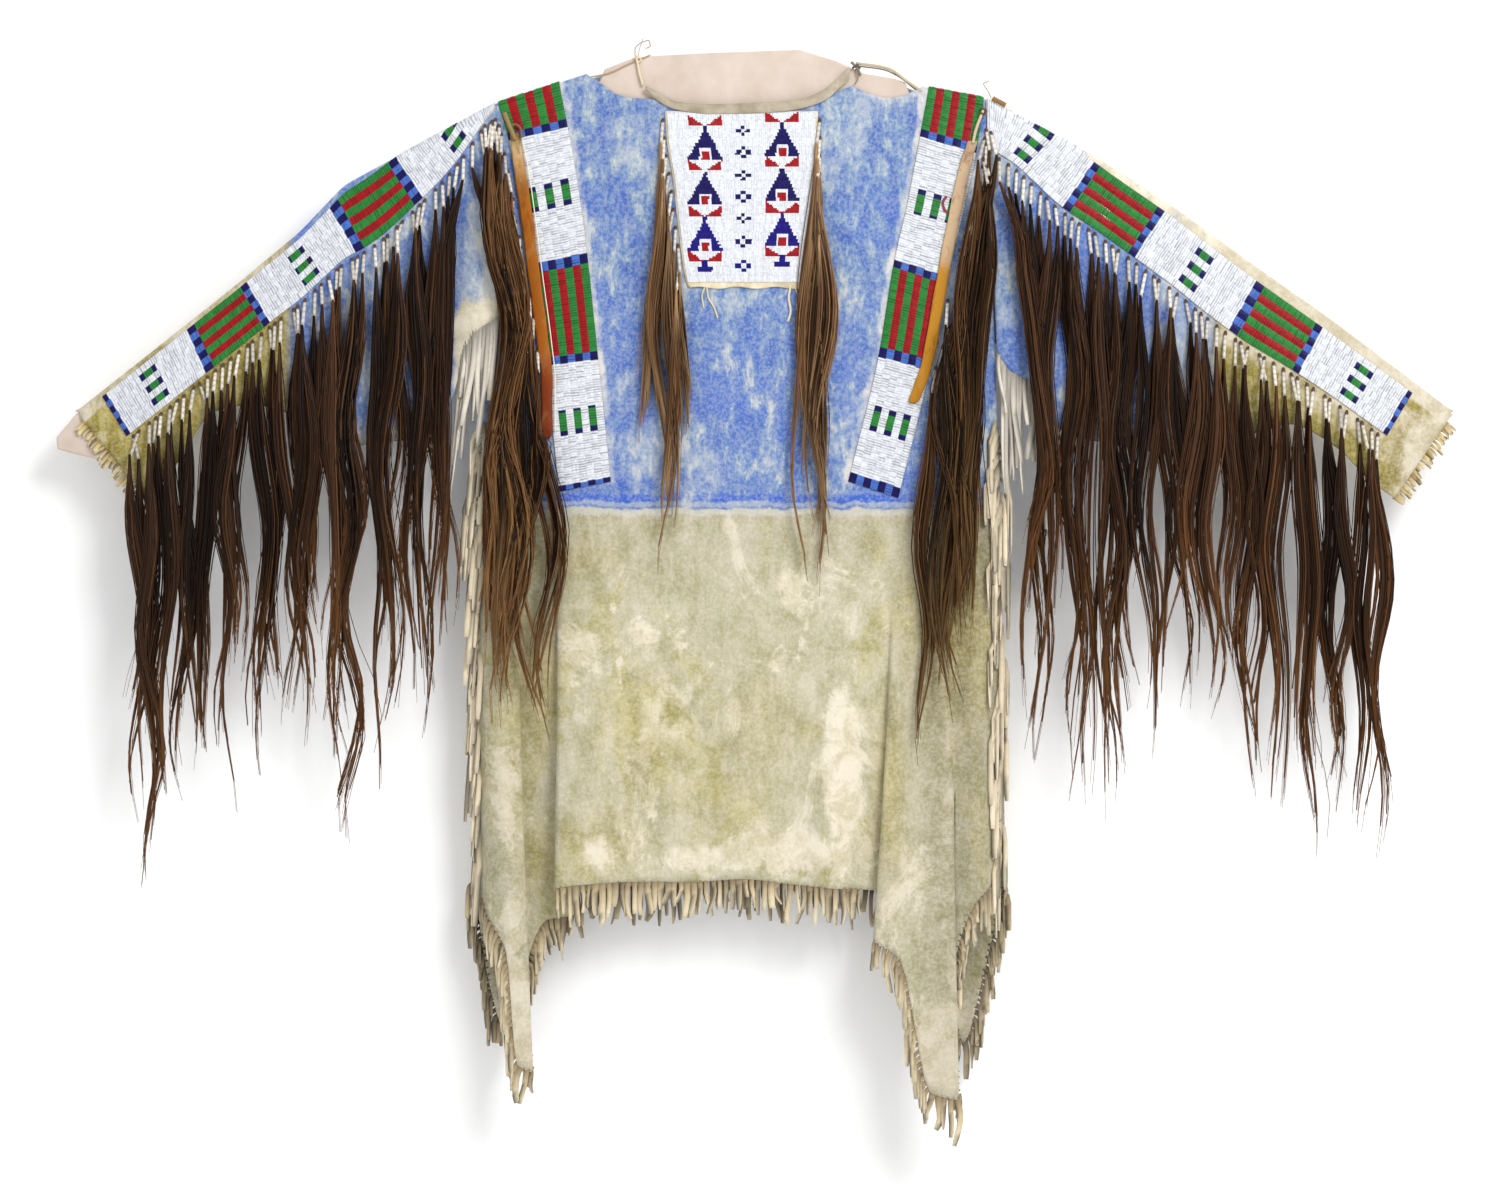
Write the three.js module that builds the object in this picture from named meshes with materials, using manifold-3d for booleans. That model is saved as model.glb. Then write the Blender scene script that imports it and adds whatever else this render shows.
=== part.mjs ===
// A plains war shirt of painted hide with beaded strips, hair locks and cut fringe,
// hung on a flat cloth-covered board. Front is -Y and up is +Z.
// The origin is the middle of the board's top edge. Lengths are in millimetres.
import * as THREE from "three";
import Module from "manifold-3d";
import { mergeVertices } from "three/addons/utils/BufferGeometryUtils.js";

const wasm = await Module();
wasm.setup();

// Driving sizes
const HIDE = 2;
const BEADWORK = 2;
const BAND = 3;
const STRAP = 1.6;
const SEAM = 0.5;
const SHOULDER_SEAM = 0.8;
const LAID = 0.6;
const FOLD = 5;
const QUARTER = FOLD * Math.PI / 2;
const BOARD = 6;
const BOARD_BEVEL = 1.5;
const BOARD_DROP = 1.8;
const BOARD_NOTCH = 13;
const BOARD_FOOT = -600;
const BOARD_HALF = 225;
const WAIST = -504;
const BACKING = 5;

const COLOURS = {
  blue: 0x6f8fcf,
  olive: 0xc4bb8c,
  beads: 0xe8eef2,
  trim: 0xb5a285,
  board: 0xf0ddd3,
  fringe: 0xd9c6a6,
  strap: 0xcf8030,
  hair: 0x4a3222,
  thong: 0xcdbf9f,
};

// Tables

// The fold line over the shoulders, arms and neck, at the middle of the hide
const RIDGE = rows("x z", [
  [-736, -397], [-561, -258.5], [-489.5, -199], [-440, -147], [-273, -57],
  [-174, -25], [-120, -4], [-49, 0], [0, 1.8], [60, 4], [99, -8], [130, -22],
  [165, -28], [195, -39], [264, -52], [385, -116], [468, -169], [556, -233],
  [644, -295], [779, -397],
]);

// The top edge of the front at the neck, and of the back
const NECK_FRONT = rows("x z", [
  [-174, -25], [-160, -34], [-144, -46], [-130, -51], [-99, -53], [-80, -61],
  [-61, -64], [0, -65], [61, -64], [80, -57], [102, -44], [118, -38], [134, -46],
  [156, -52], [174, -49], [195, -39],
]);

// Guide lines down the front, from the top edge past the waist to the hem
const FRONT = rows("name topX waistX hemX hemZ hemY", [
  ["leftEdge", -272.8, -291.5, -290.5, -925, 2],
  ["leftRidgeA", -268, -285, -280, -953, -16],
  ["leftRidgeB", -263, -276, -261, -988, -26],
  ["leftTailA", -257, -267, -249, -1111, -28],
  ["leftTailB", -252, -257, -233, -1120, -22],
  ["leftTuck", -246, -249, -243, -1027, -4],
  ["leftValley", -238, -235, -219, -955, 1],
  ["underCentre", -229, -217, -188, -948, -3],
  ["centreEdge", -218, -201, -208, -920, -24],
  ["centreA", -178, -168, -165, -913, -32],
  ["centreB", -164, -135, -128, -911, -28],
  ["centreC", -137, -100, -93, -911, -22],
  ["centreCD", -99, -61, -61, -912, -19],
  ["centreD", -10, -2, -2, -908, -26],
  ["centreE", 72, 55, 50, -914, -21],
  ["centreF", 118, 102, 96, -918, -32],
  ["softValley", 160, 129, 129, -920, -19],
  ["underFlap", 186, 153, 162, -925, -12],
  ["flapEdge", 199, 174, 141, -972, -33],
  ["flapFront", 218, 190, 169, -994, -42],
  ["tailLeft", 232, 204, 202, -1140, -40],
  ["tailRight", 243, 219, 233, -1149, -33],
  ["ridgeValley", 250, 233, 227, -1027, -24],
  ["ridgeRight", 257, 255, 251, -935, -32],
  ["rightEdge", 263.6, 280.5, 277, -913, 0],
]);

const BACK = rows("name topX waistX hemX hemZ hemY", [
  ["leftEdge", -272.8, -291.5, -300, -911, 13],
  ["leftTailA", -261, -276, -283, -1027, 25],
  ["leftTailB", -248, -260, -263, -1081, 29],
  ["leftValley", -226, -230, -226, -961, 15],
  ["neckLeft", -178, -190, -190, -930, 20],
  ["centreA", -164, -165, -165, -922, 23],
  ["centreB", -94, -94, -94, -917, 15],
  ["centre", -2, -2, -2, -911, 21],
  ["centreC", 88, 88, 88, -915, 14],
  ["centreD", 150, 145, 145, -924, 23],
  ["neckRight", 186, 178, 178, -930, 20],
  ["shoulder", 199, 194, 194, -940, 17],
  ["rightValley", 216, 210, 211, -966, 15],
  ["rightTailB", 237, 239, 241, -1093, 29],
  ["rightTailA", 253, 262, 263, -1021, 25],
  ["rightEdge", 263.6, 280.5, 287, -911, 13],
]);

// Sections across each sleeve, from the fold line to the open lower edge
const SLEEVE_LEFT = rows("topX lowX lowZ", [
  [-273.4, -284.5, -300], [-305, -305, -311], [-336, -325, -388], [-374, -369, -427],
  [-410, -399, -430], [-440, -428, -435], [-468, -451, -440], [-489.5, -476, -447],
  [-522, -506, -396], [-561, -544, -389], [-616, -583, -396], [-671, -622, -451],
  [-710, -644, -480], [-736, -656, -492],
]);
const SLEEVE_RIGHT = rows("topX lowX lowZ", [
  [264.4, 276, -330], [280, 291, -352], [300, 318, -366], [336, 338, -410],
  [363, 368, -425], [385, 390, -430], [424, 421, -436], [468, 460, -443],
  [512, 495, -451], [556, 525, -427], [600, 569, -418], [644, 600, -410],
  [698, 649, -435], [743, 685, -471], [779, 713, -491],
]);

// The edges of each beaded sleeve strip: its place along the sleeve, and how far
// down the cloth it lies from the fold line, negative when it is behind
const STRIP_SLEEVE_LEFT = rows("lowX low highX high", [
  [-679, 74, -706, 9], [-590, 74, -612, 9], [-522, 75, -548, 9], [-424, 84, -453, 11],
  [-356, 64, -385, 3], [-318, 44, -352, -16], [-293, 22, -326, -40], [-275, 6, -275, -64],
]);
const STRIP_SLEEVE_RIGHT = rows("lowX low highX high", [
  [705, 84, 733, 16], [607, 88, 634, 18], [530, 94, 561, 18], [426, 86, 459, 14],
  [350, 78, 384, 9], [318, 66, 359, -3], [292, 57, 332, -11], [266, 55, 266, -24],
]);

// The edges of each beaded body strip, from the fold line down the front
const STRIP_BODY_LEFT = rows("innerX innerZ outerX outerZ", [
  [-204, -35, -271.5, -57], [-196, -76, -261, -91], [-183, -150, -246, -166],
  [-173, -223, -234, -235], [-162, -327, -220, -334], [-147, -473, -204, -484],
]);
const STRIP_BODY_RIGHT = rows("innerX innerZ outerX outerZ", [
  [202, -40, 262.5, -52], [191, -99, 253, -117], [178, -168, 238, -184],
  [163, -234, 220, -252], [146, -337, 202, -352], [113, -473, 168, -491],
]);

const BIB = rows("z leftX rightX", [
  [-70.5, -88, 79], [-100, -86, 79], [-142, -79, 78], [-197, -73, 74], [-232, -68, 71],
  [-246, -64, 66], [-255, -50, 52],
]);

// The rolled band round the front of the neck
const NECK_TRIM = rows("x high low", [
  [-109, -39, -43], [-90, -49, -58], [-76, -56, -64], [-36, -59, -69], [22, -57, -68],
  [58, -54, -64], [88, -42, -54], [104, -28, -40], [114, -18, -32],
]);

// Where the sleeve hair ends, by the place of its root
const HAIR_ENDS_LEFT = rows("x z", [
  [-660, -905], [-610, -800], [-560, -790], [-500, -760], [-460, -740], [-420, -880],
  [-380, -760], [-330, -740], [-270, -640],
]);
const HAIR_ENDS_RIGHT = rows("x z", [
  [290, -740], [340, -780], [385, -910], [430, -750], [500, -740], [560, -800],
  [610, -830], [640, -880], [680, -880],
]);

// Small helpers

function rows(names, list) {
  const keys = names.split(" ");
  return list.map((row) => Object.fromEntries(keys.map((key, i) => [key, row[i]])));
}

function mix(a, b, t) {
  return a + (b - a) * t;
}

function clamp(value, low = 0, high = 1) {
  return Math.min(high, Math.max(low, value));
}

function smooth(value) {
  const t = clamp(value);
  return t * t * (3 - 2 * t);
}

// A fixed scatter between -1 and 1 for the i-th thing
function scatter(i, seed = 0) {
  const value = Math.sin(i * 12.9898 + seed * 78.233) * 43758.5453;
  return 2 * (value - Math.floor(value)) - 1;
}

function lookUp(table, key, column, at) {
  const last = table.length - 1;
  if (at <= table[0][key]) return table[0][column];
  for (let i = 1; i <= last; i += 1) {
    if (at <= table[i][key]) {
      const t = (at - table[i - 1][key]) / (table[i][key] - table[i - 1][key]);
      return mix(table[i - 1][column], table[i][column], t);
    }
  }
  return table[last][column];
}

// A table's row at a fractional place between its first and last rows
function rowAt(table, t) {
  const place = clamp(t) * (table.length - 1);
  const i = Math.min(Math.floor(place), table.length - 2);
  const row = {};
  for (const key of Object.keys(table[0])) {
    if (typeof table[0][key] === "number") row[key] = mix(table[i][key], table[i + 1][key], place - i);
  }
  return row;
}

function steps(count) {
  return Array.from({ length: count + 1 }, (_, i) => i / count);
}

// The cloth's form

function ridgeZ(x) {
  return lookUp(RIDGE, "x", "z", x);
}

// How far the hide stands off the board, in front and behind
function bulge(x, drop, side) {
  const body = Math.exp(-((x / 190) ** 2));
  const settled = smooth((drop - FOLD) / 220);
  if (side < 0) return settled * (3 + 3 * body);
  const arm = smooth((Math.abs(x) - 300) / 80) * smooth((drop - 170) / 140);
  return settled * (6 + 8 * body) + arm * (3 + 3 * Math.sin(x / 19));
}

function alongFor(drop) {
  if (drop >= FOLD) return QUARTER + drop - FOLD;
  return FOLD * Math.acos(clamp((FOLD - drop) / FOLD, -1, 1));
}

// A point of the hide: along is its way from the fold line, negative behind,
// and out is how far it lies above the middle of the hide
function onHide(x, along, out) {
  const side = along < 0 ? -1 : 1;
  const way = Math.abs(along);
  const reach = FOLD + out;
  if (way < QUARTER) {
    const angle = way / FOLD;
    return new THREE.Vector3(x, -side * reach * Math.sin(angle), ridgeZ(x) - FOLD + reach * Math.cos(angle));
  }
  const drop = way - QUARTER + FOLD;
  return new THREE.Vector3(x, -side * (reach + bulge(x, drop, side)), ridgeZ(x) - drop);
}

function onHideAt(x, z, out, side = 1) {
  return onHide(x, side * alongFor(ridgeZ(x) - z), out);
}

// Solids

function solidOf(geometry) {
  const bare = geometry.clone();
  bare.deleteAttribute("normal");
  bare.deleteAttribute("uv");
  const merged = mergeVertices(bare, 1e-3);
  const mesh = new wasm.Mesh({
    numProp: 3,
    vertProperties: new Float32Array(merged.attributes.position.array),
    triVerts: new Uint32Array(merged.index.array),
  });
  return new wasm.Manifold(mesh);
}

function geometryOf(solid) {
  const mesh = solid.getMesh();
  const geometry = new THREE.BufferGeometry();
  geometry.setAttribute("position", new THREE.BufferAttribute(new Float32Array(mesh.vertProperties), 3));
  geometry.setIndex(new THREE.BufferAttribute(new Uint32Array(mesh.triVerts), 1));
  return geometry;
}

function volumeOf(points, faces) {
  let total = 0;
  for (const [a, b, c] of faces) total += points[a].dot(points[b].clone().cross(points[c]));
  return total / 6;
}

function closedGeometry(points, faces) {
  const turned = volumeOf(points, faces) < 0 ? faces.map(([a, b, c]) => [a, c, b]) : faces;
  const geometry = new THREE.BufferGeometry();
  geometry.setAttribute("position", new THREE.Float32BufferAttribute(points.flatMap((p) => [p.x, p.y, p.z]), 3));
  geometry.setIndex(turned.flat());
  return geometry;
}

// The direction across the cloth at one point of a grid
function acrossAt(grid, i, j) {
  const up = grid[Math.max(i - 1, 0)][j];
  const down = grid[Math.min(i + 1, grid.length - 1)][j];
  const left = grid[i][Math.max(j - 1, 0)];
  const right = grid[i][Math.min(j + 1, grid[i].length - 1)];
  return down.clone().sub(up).cross(right.clone().sub(left)).normalize();
}

// A wall round a grid of middle points, with a rim along its four edges
function wall(grid, thickness) {
  const high = grid.length;
  const wide = grid[0].length;
  const points = [];
  for (const side of [1, -1]) {
    for (let i = 0; i < high; i += 1) {
      for (let j = 0; j < wide; j += 1) {
        const step = acrossAt(grid, i, j).multiplyScalar(side * thickness / 2);
        points.push(grid[i][j].clone().add(step));
      }
    }
  }
  const at = (side, i, j) => side * high * wide + i * wide + j;
  const faces = [];
  const quad = (a, b, c, d) => faces.push([a, b, c], [a, c, d]);
  for (let i = 0; i < high - 1; i += 1) {
    for (let j = 0; j < wide - 1; j += 1) {
      quad(at(0, i, j), at(0, i + 1, j), at(0, i + 1, j + 1), at(0, i, j + 1));
      quad(at(1, i, j), at(1, i, j + 1), at(1, i + 1, j + 1), at(1, i + 1, j));
    }
  }
  for (let i = 0; i < high - 1; i += 1) {
    quad(at(0, i, 0), at(1, i, 0), at(1, i + 1, 0), at(0, i + 1, 0));
    quad(at(0, i, wide - 1), at(0, i + 1, wide - 1), at(1, i + 1, wide - 1), at(1, i, wide - 1));
  }
  for (let j = 0; j < wide - 1; j += 1) {
    quad(at(0, 0, j), at(0, 0, j + 1), at(1, 0, j + 1), at(1, 0, j));
    quad(at(0, high - 1, j), at(1, high - 1, j), at(1, high - 1, j + 1), at(0, high - 1, j + 1));
  }
  return closedGeometry(points, faces);
}

// A strand through stations of {at, wide, deep}, with the sides given, square to its way
function strand(stations, sides) {
  const last = stations.length - 1;
  const points = [];
  stations.forEach(({ at, wide, deep }, i) => {
    const way = stations[Math.min(i + 1, last)].at.clone().sub(stations[Math.max(i - 1, 0)].at).normalize();
    const across = way.cross(new THREE.Vector3(0, 1, 0)).normalize();
    for (let k = 0; k < sides; k += 1) {
      const angle = 2 * Math.PI * (k + 0.5) / sides;
      const point = at.clone().addScaledVector(across, Math.sin(angle) * wide / 2);
      points.push(point.add(new THREE.Vector3(0, Math.cos(angle) * deep / 2, 0)));
    }
  });
  const faces = [];
  for (let k = 1; k < sides - 1; k += 1) {
    faces.push([0, k + 1, k]);
    faces.push([last * sides, last * sides + k, last * sides + k + 1]);
  }
  for (let i = 0; i < last; i += 1) {
    for (let k = 0; k < sides; k += 1) {
      const a = i * sides + k;
      const b = i * sides + (k + 1) % sides;
      faces.push([a, b, b + sides], [a, b + sides, a + sides]);
    }
  }
  return closedGeometry(points, faces);
}

function fused(geometries) {
  return geometryOf(wasm.Manifold.union(geometries.map(solidOf)));
}

// Body

// The top edge of a body piece at one guide line, as a way from the fold line
function topAlong(x, side) {
  const neck = x > NECK_FRONT[0].x && x < NECK_FRONT[NECK_FRONT.length - 1].x;
  if (!neck) return SHOULDER_SEAM / 2;
  if (side < 0) return QUARTER + 1;
  return alongFor(ridgeZ(x) - lookUp(NECK_FRONT, "x", "z", x));
}

// Ways down from the top edge that follow the round of the fold
const ROUND = [0, QUARTER / 4, QUARTER / 2, QUARTER * 3 / 4, QUARTER];
const FRONT_ROWS = { upper: 7, lower: 8 };
const BACK_ROWS = { upper: 6, lower: 5 };

function bodyLine(guide, side, counts) {
  const start = topAlong(guide.topX, side);
  const waistDrop = ridgeZ(guide.topX) - WAIST;
  const waistAlong = alongFor(waistDrop);
  const ways = ROUND.map((way) => start + way * (QUARTER - SHOULDER_SEAM / 2) / QUARTER);
  for (const t of steps(counts.upper).slice(1)) ways.push(mix(start + QUARTER, waistAlong, t));
  const line = ways.map((along) => {
    const t = clamp((along - start) / (waistAlong - start));
    const x = mix(guide.topX, guide.waistX, t);
    const z = ridgeZ(guide.topX) - (along < QUARTER ? 0 : along - QUARTER + FOLD);
    return along < QUARTER ? onHide(x, side * along, 0) : onHideAt(x, z, 0, side);
  });
  const waistY = line[line.length - 1].y;
  for (const t of steps(counts.lower).slice(1)) {
    line.push(new THREE.Vector3(
      mix(guide.waistX, guide.hemX, t),
      mix(waistY, guide.hemY, smooth(t ** 0.8)),
      mix(WAIST, guide.hemZ, t),
    ));
  }
  return line;
}

const frontGrid = FRONT.map((guide) => bodyLine(guide, 1, FRONT_ROWS));
const backGrid = BACK.map((guide) => bodyLine(guide, -1, BACK_ROWS));

// How far forward the front reaches at a place, or nothing where it has no cloth
function frontDepth(x, z) {
  let nearest = 0;
  for (let i = 0; i < frontGrid.length - 1; i += 1) {
    for (let j = 0; j < frontGrid[i].length - 1; j += 1) {
      const a = frontGrid[i][j];
      const b = frontGrid[i + 1][j];
      const c = frontGrid[i + 1][j + 1];
      const d = frontGrid[i][j + 1];
      for (const [p, q, r] of [[a, b, c], [a, c, d]]) {
        const area = (q.x - p.x) * (r.z - p.z) - (r.x - p.x) * (q.z - p.z);
        if (Math.abs(area) < 1e-6) continue;
        const u = ((x - p.x) * (r.z - p.z) - (r.x - p.x) * (z - p.z)) / area;
        const v = ((q.x - p.x) * (z - p.z) - (x - p.x) * (q.z - p.z)) / area;
        if (u < 0 || v < 0 || u + v > 1) continue;
        nearest = Math.min(nearest, p.y + u * (q.y - p.y) + v * (r.y - p.y));
      }
    }
  }
  return nearest;
}

// Sleeves

const SLEEVE_ROWS = 4;
const BACK_SHORTER = 12;

function sleeveWays(length) {
  const flat = steps(SLEEVE_ROWS).slice(1).map((t) => mix(QUARTER, length, t));
  return [...ROUND.slice(1), ...flat];
}

function sleeveLine(section) {
  const frontLength = alongFor(ridgeZ(section.topX) - section.lowZ);
  const behind = sleeveWays(frontLength - BACK_SHORTER).reverse().map((way) => -way);
  return [...behind, 0, ...sleeveWays(frontLength)].map((along) => {
    const x = mix(section.topX, section.lowX, Math.abs(along) / frontLength);
    if (Math.abs(along) < QUARTER) return onHide(x, along, 0);
    const z = mix(ridgeZ(section.topX), section.lowZ, Math.abs(along) / frontLength);
    return onHideAt(x, Math.min(z, ridgeZ(x) - FOLD), 0, Math.sign(along));
  });
}

// Beaded pieces, laid on the hide

const LAID_OUT = HIDE / 2 + LAID + BEADWORK / 2;
const STRIP_LENGTH_PARTS = 9;

// Levels down the cloth at which a sleeve strip is cut into rows
const LEVELS = [70, 57, 50, 30, 11, ...ROUND.slice().reverse(), ...ROUND.slice(1).map((way) => -way), -25, -45];
const LEVEL_EDGE = 1.5;

// Where a closed outline of {x, along} is crossed by one level of the cloth
function levelSpan(outline, level) {
  const found = [];
  outline.forEach((a, i) => {
    const b = outline[(i + 1) % outline.length];
    const high = Math.max(a.along, b.along);
    const low = Math.min(a.along, b.along);
    if (level > high || level < low) return;
    if (high === low) found.push(a.x, b.x);
    else found.push(mix(a.x, b.x, (level - a.along) / (b.along - a.along)));
  });
  return [Math.min(...found), Math.max(...found)];
}

function sleeveStripGrid(table) {
  const outline = [
    ...table.map((row) => ({ x: row.lowX, along: row.low })),
    ...table.map((row) => ({ x: row.highX, along: row.high })).reverse(),
  ];
  const bottom = Math.max(...outline.map((point) => point.along)) - LEVEL_EDGE;
  const top = Math.min(...outline.map((point) => point.along)) + LEVEL_EDGE;
  const levels = [bottom, ...LEVELS.filter((level) => level < bottom - 2 && level > top + 2), top];
  return levels.map((level) => {
    const [from, to] = levelSpan(outline, level);
    return steps(STRIP_LENGTH_PARTS).map((t) => onHide(mix(from, to, t), level, LAID_OUT));
  });
}

const STRIP_PARTS = 2;

function bodyStripHalf(table, side) {
  const turns = ROUND.slice(1).map((along) => steps(STRIP_PARTS).map((t) => {
    return onHide(mix(table[0].innerX, table[0].outerX, t), side * along, LAID_OUT);
  }));
  const flats = steps(2 * (table.length - 1)).slice(1).map((place) => {
    const row = rowAt(table, place);
    return steps(STRIP_PARTS).map((t) => {
      return onHideAt(mix(row.innerX, row.outerX, t), mix(row.innerZ, row.outerZ, t), LAID_OUT, side);
    });
  });
  return [...turns, ...flats];
}

function bodyStripGrid(table) {
  const top = steps(STRIP_PARTS).map((t) => onHide(mix(table[0].innerX, table[0].outerX, t), 0, LAID_OUT));
  return [...bodyStripHalf(table, -1).reverse(), top, ...bodyStripHalf(table, 1)];
}

const BIB_PARTS = 8;

function bibGrid() {
  return BIB.map((row) => steps(BIB_PARTS).map((t) => {
    return onHideAt(mix(row.leftX, row.rightX, t), row.z, LAID_OUT);
  }));
}

function trimGrid() {
  const out = HIDE / 2 + LAID + BAND / 2;
  return NECK_TRIM.map((row) => [0, 0.5, 1].map((t) => onHideAt(row.x, mix(row.high, row.low, t), out)));
}

// Straps, laid over the beadwork

const STRAP_OUT = LAID_OUT + BEADWORK / 2 + LAID + STRAP / 2;
const STRAP_WIDE = 13;
const STRAP_LEFT = rows("x z", [
  [-253, -90], [-248, -125], [-241, -170], [-232, -240], [-222, -317], [-217, -361], [-217, -427],
]);
const STRAP_RIGHT = rows("x z", [
  [250, -99], [242, -125], [227, -195], [212, -275], [199, -345], [184, -387],
]);

function strapGrid(path) {
  return path.map((row) => {
    return [-0.5, 0, 0.5].map((t) => onHideAt(row.x + t * STRAP_WIDE, row.z, STRAP_OUT));
  });
}

// Hair

const WRAP_LONG = 32;
const WRAP_THICK = 4.6;
const ROOT_DEEP = 1.5;
const HAIR_DEEP = 5;
const CLEAR = 4.5;
const LAYER = 7;
const EDGE_GAP = 1.1;
const BODY_HAIR_AWAY = 12.5;

// A narrow strip along an edge that carries the roots
function backingGrid(edge, inward, out) {
  return edge.map(({ x, z }) => [0, 1].map((t) => onHideAt(x + t * inward.x, z + t * inward.z, out)));
}

function clothDepth(x, z) {
  const chest = onHideAt(x, Math.max(z, -500), 0).y;
  return Math.min(chest, frontDepth(x, z));
}

// One lock from its root: a wrapped head, then hair that widens and tapers in waves
function lock(root, endZ, wide, index, layer) {
  const long = root.z - endZ;
  const wrapPart = WRAP_LONG / long;
  const places = [0, 0.3 * wrapPart, wrapPart, mix(wrapPart, 1, 0.35), mix(wrapPart, 1, 0.72), 1];
  const widths = [3.5, 1.3 * WRAP_THICK, 1.3 * WRAP_THICK, 1.25 * wide, wide, 2];
  const deeps = [2 * ROOT_DEEP, WRAP_THICK, WRAP_THICK, HAIR_DEEP, HAIR_DEEP, 2];
  const sway = 4 + 3 * scatter(index, 3);
  let forward = root.y;
  return strand(places.map((t, i) => {
    const x = root.x + sway * Math.sin(2.4 * t + scatter(index, 5)) * t + 4 * scatter(index, 7) * t;
    const z = root.z - long * t;
    if (i > 0) forward = Math.min(forward, clothDepth(x, z) - HIDE / 2 - CLEAR - layer);
    return { at: new THREE.Vector3(x, forward, z), wide: widths[i], deep: deeps[i] };
  }), 3);
}

function sleeveHair(table, ends, count) {
  const edge = steps(table.length - 1).slice(0, -1).map((t) => rowAt(table, t)).map((row) => {
    return { x: row.lowX, z: ridgeZ(row.lowX) - (Math.max(row.low, QUARTER) - QUARTER + FOLD) - EDGE_GAP };
  });
  const backing = wall(backingGrid(edge, { x: 0, z: -BACKING }, LAID_OUT), BEADWORK);
  const locks = steps(count - 1).map((t, i) => {
    const place = rowAt(edge, mix(0.02, 0.98, t));
    const root = onHideAt(place.x, place.z - BACKING / 2, LAID_OUT);
    const endZ = lookUp(ends, "x", "z", place.x) + 28 * scatter(i, 1);
    return lock(root, endZ, 10 + 2 * scatter(i, 2), i, i % 2 ? LAYER : 1);
  });
  return fused([backing, ...locks]);
}

function bodyHair(table, outward, count, ends) {
  const edge = steps(6).map((t) => {
    const row = rowAt(table, mix(0.2, 0.83, t));
    return { x: row.outerX + outward * BODY_HAIR_AWAY, z: row.outerZ };
  });
  const backing = wall(backingGrid(edge, { x: -outward * BACKING, z: 0 }, LAID_OUT), BEADWORK);
  const locks = steps(count - 1).map((t, i) => {
    const place = rowAt(edge, mix(0.02, 0.98, t));
    const root = onHideAt(place.x - outward * BACKING / 2, place.z, LAID_OUT);
    const endZ = mix(ends.first, ends.last, t) + 35 * scatter(i, 11);
    return lock(root, endZ, 9 + 2 * scatter(i, 12), i + 40, 4 + (i % 3) * 5);
  });
  return fused([backing, ...locks]);
}

function bibHair(column, outward, count) {
  const edge = BIB.slice(0, 5).map((row) => ({ x: row[column] + outward * (BACKING + LAID), z: row.z }));
  const backing = wall(backingGrid(edge, { x: -outward * BACKING, z: 0 }, LAID_OUT), BEADWORK);
  const locks = steps(count - 1).map((t, i) => {
    const place = rowAt(edge, mix(0.05, 0.95, t));
    const root = onHideAt(place.x - outward * BACKING / 2, place.z, LAID_OUT);
    return lock(root, -500 + 70 * scatter(i, 21), 11, i + 70, 2 + (i % 2) * LAYER);
  });
  return fused([backing, ...locks]);
}

// Cut fringe

const CUT_WIDE = 5;
const ROOT_PLACE = 0.6;
const EDGE_TRIM = 0.08;

// The way out of the cloth at each point of one of its edges, from the points just inside
function edgeWays(edge, inside) {
  return edge.map((point, i) => {
    const along = edge[Math.min(i + 1, edge.length - 1)].clone().sub(edge[Math.max(i - 1, 0)]).normalize();
    const out = point.clone().sub(inside[i]);
    return out.addScaledVector(along, -out.dot(along)).normalize();
  });
}

// Cut fringe on a strip just outside an edge of the cloth. It hangs the way given.
function fringe(whole, inside, hang, sizes) {
  const { long, count, wide = CUT_WIDE, spread = 0.35, trim = EDGE_TRIM, seed } = sizes;
  const ways = edgeWays(whole, inside);
  const edge = whole.map((point) => point.clone());
  edge[0].lerp(whole[1], trim);
  edge[edge.length - 1].lerp(whole[edge.length - 2], EDGE_TRIM);
  const strip = edge.map((point, i) => [0, 1].map((t) => {
    return point.clone().addScaledVector(ways[i], SEAM + t * BACKING);
  }));
  const lengths = [0];
  for (let i = 1; i < edge.length; i += 1) lengths.push(lengths[i - 1] + edge[i].distanceTo(edge[i - 1]));
  const cuts = steps(count - 1).map((t, k) => {
    const way = mix(0.02, 0.98, t) * lengths[lengths.length - 1];
    const i = lengths.findIndex((length) => length >= way);
    const part = (way - lengths[i - 1]) / (lengths[i] - lengths[i - 1]);
    const root = strip[i - 1][0].clone().lerp(strip[i - 1][1], ROOT_PLACE);
    root.lerp(strip[i][0].clone().lerp(strip[i][1], ROOT_PLACE), part);
    const out = ways[i - 1].clone().lerp(ways[i], part).multiplyScalar(spread);
    out.y *= 0.3;
    out.add(hang).normalize();
    out.add(new THREE.Vector3(0.1 * spread * 3 * scatter(k, seed + 1), 0.02 * scatter(k, seed + 2), 0));
    const tip = root.clone().addScaledVector(out, long * (1 + 0.14 * scatter(k, seed)));
    return strand([{ at: root, wide, deep: ROOT_DEEP }, { at: tip, wide: 0.8 * wide, deep: ROOT_DEEP }], 3);
  });
  return fused([wall(strip, HIDE), ...cuts]);
}

function hemPoints(grid, first, last, fromEnd = 1) {
  return grid.slice(first, last + 1).map((line) => line[line.length - fromEnd]);
}

function hemFringe(grid, first, last, sizes) {
  return fringe(hemPoints(grid, first, last), hemPoints(grid, first, last, 2), DOWN, sizes);
}

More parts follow.
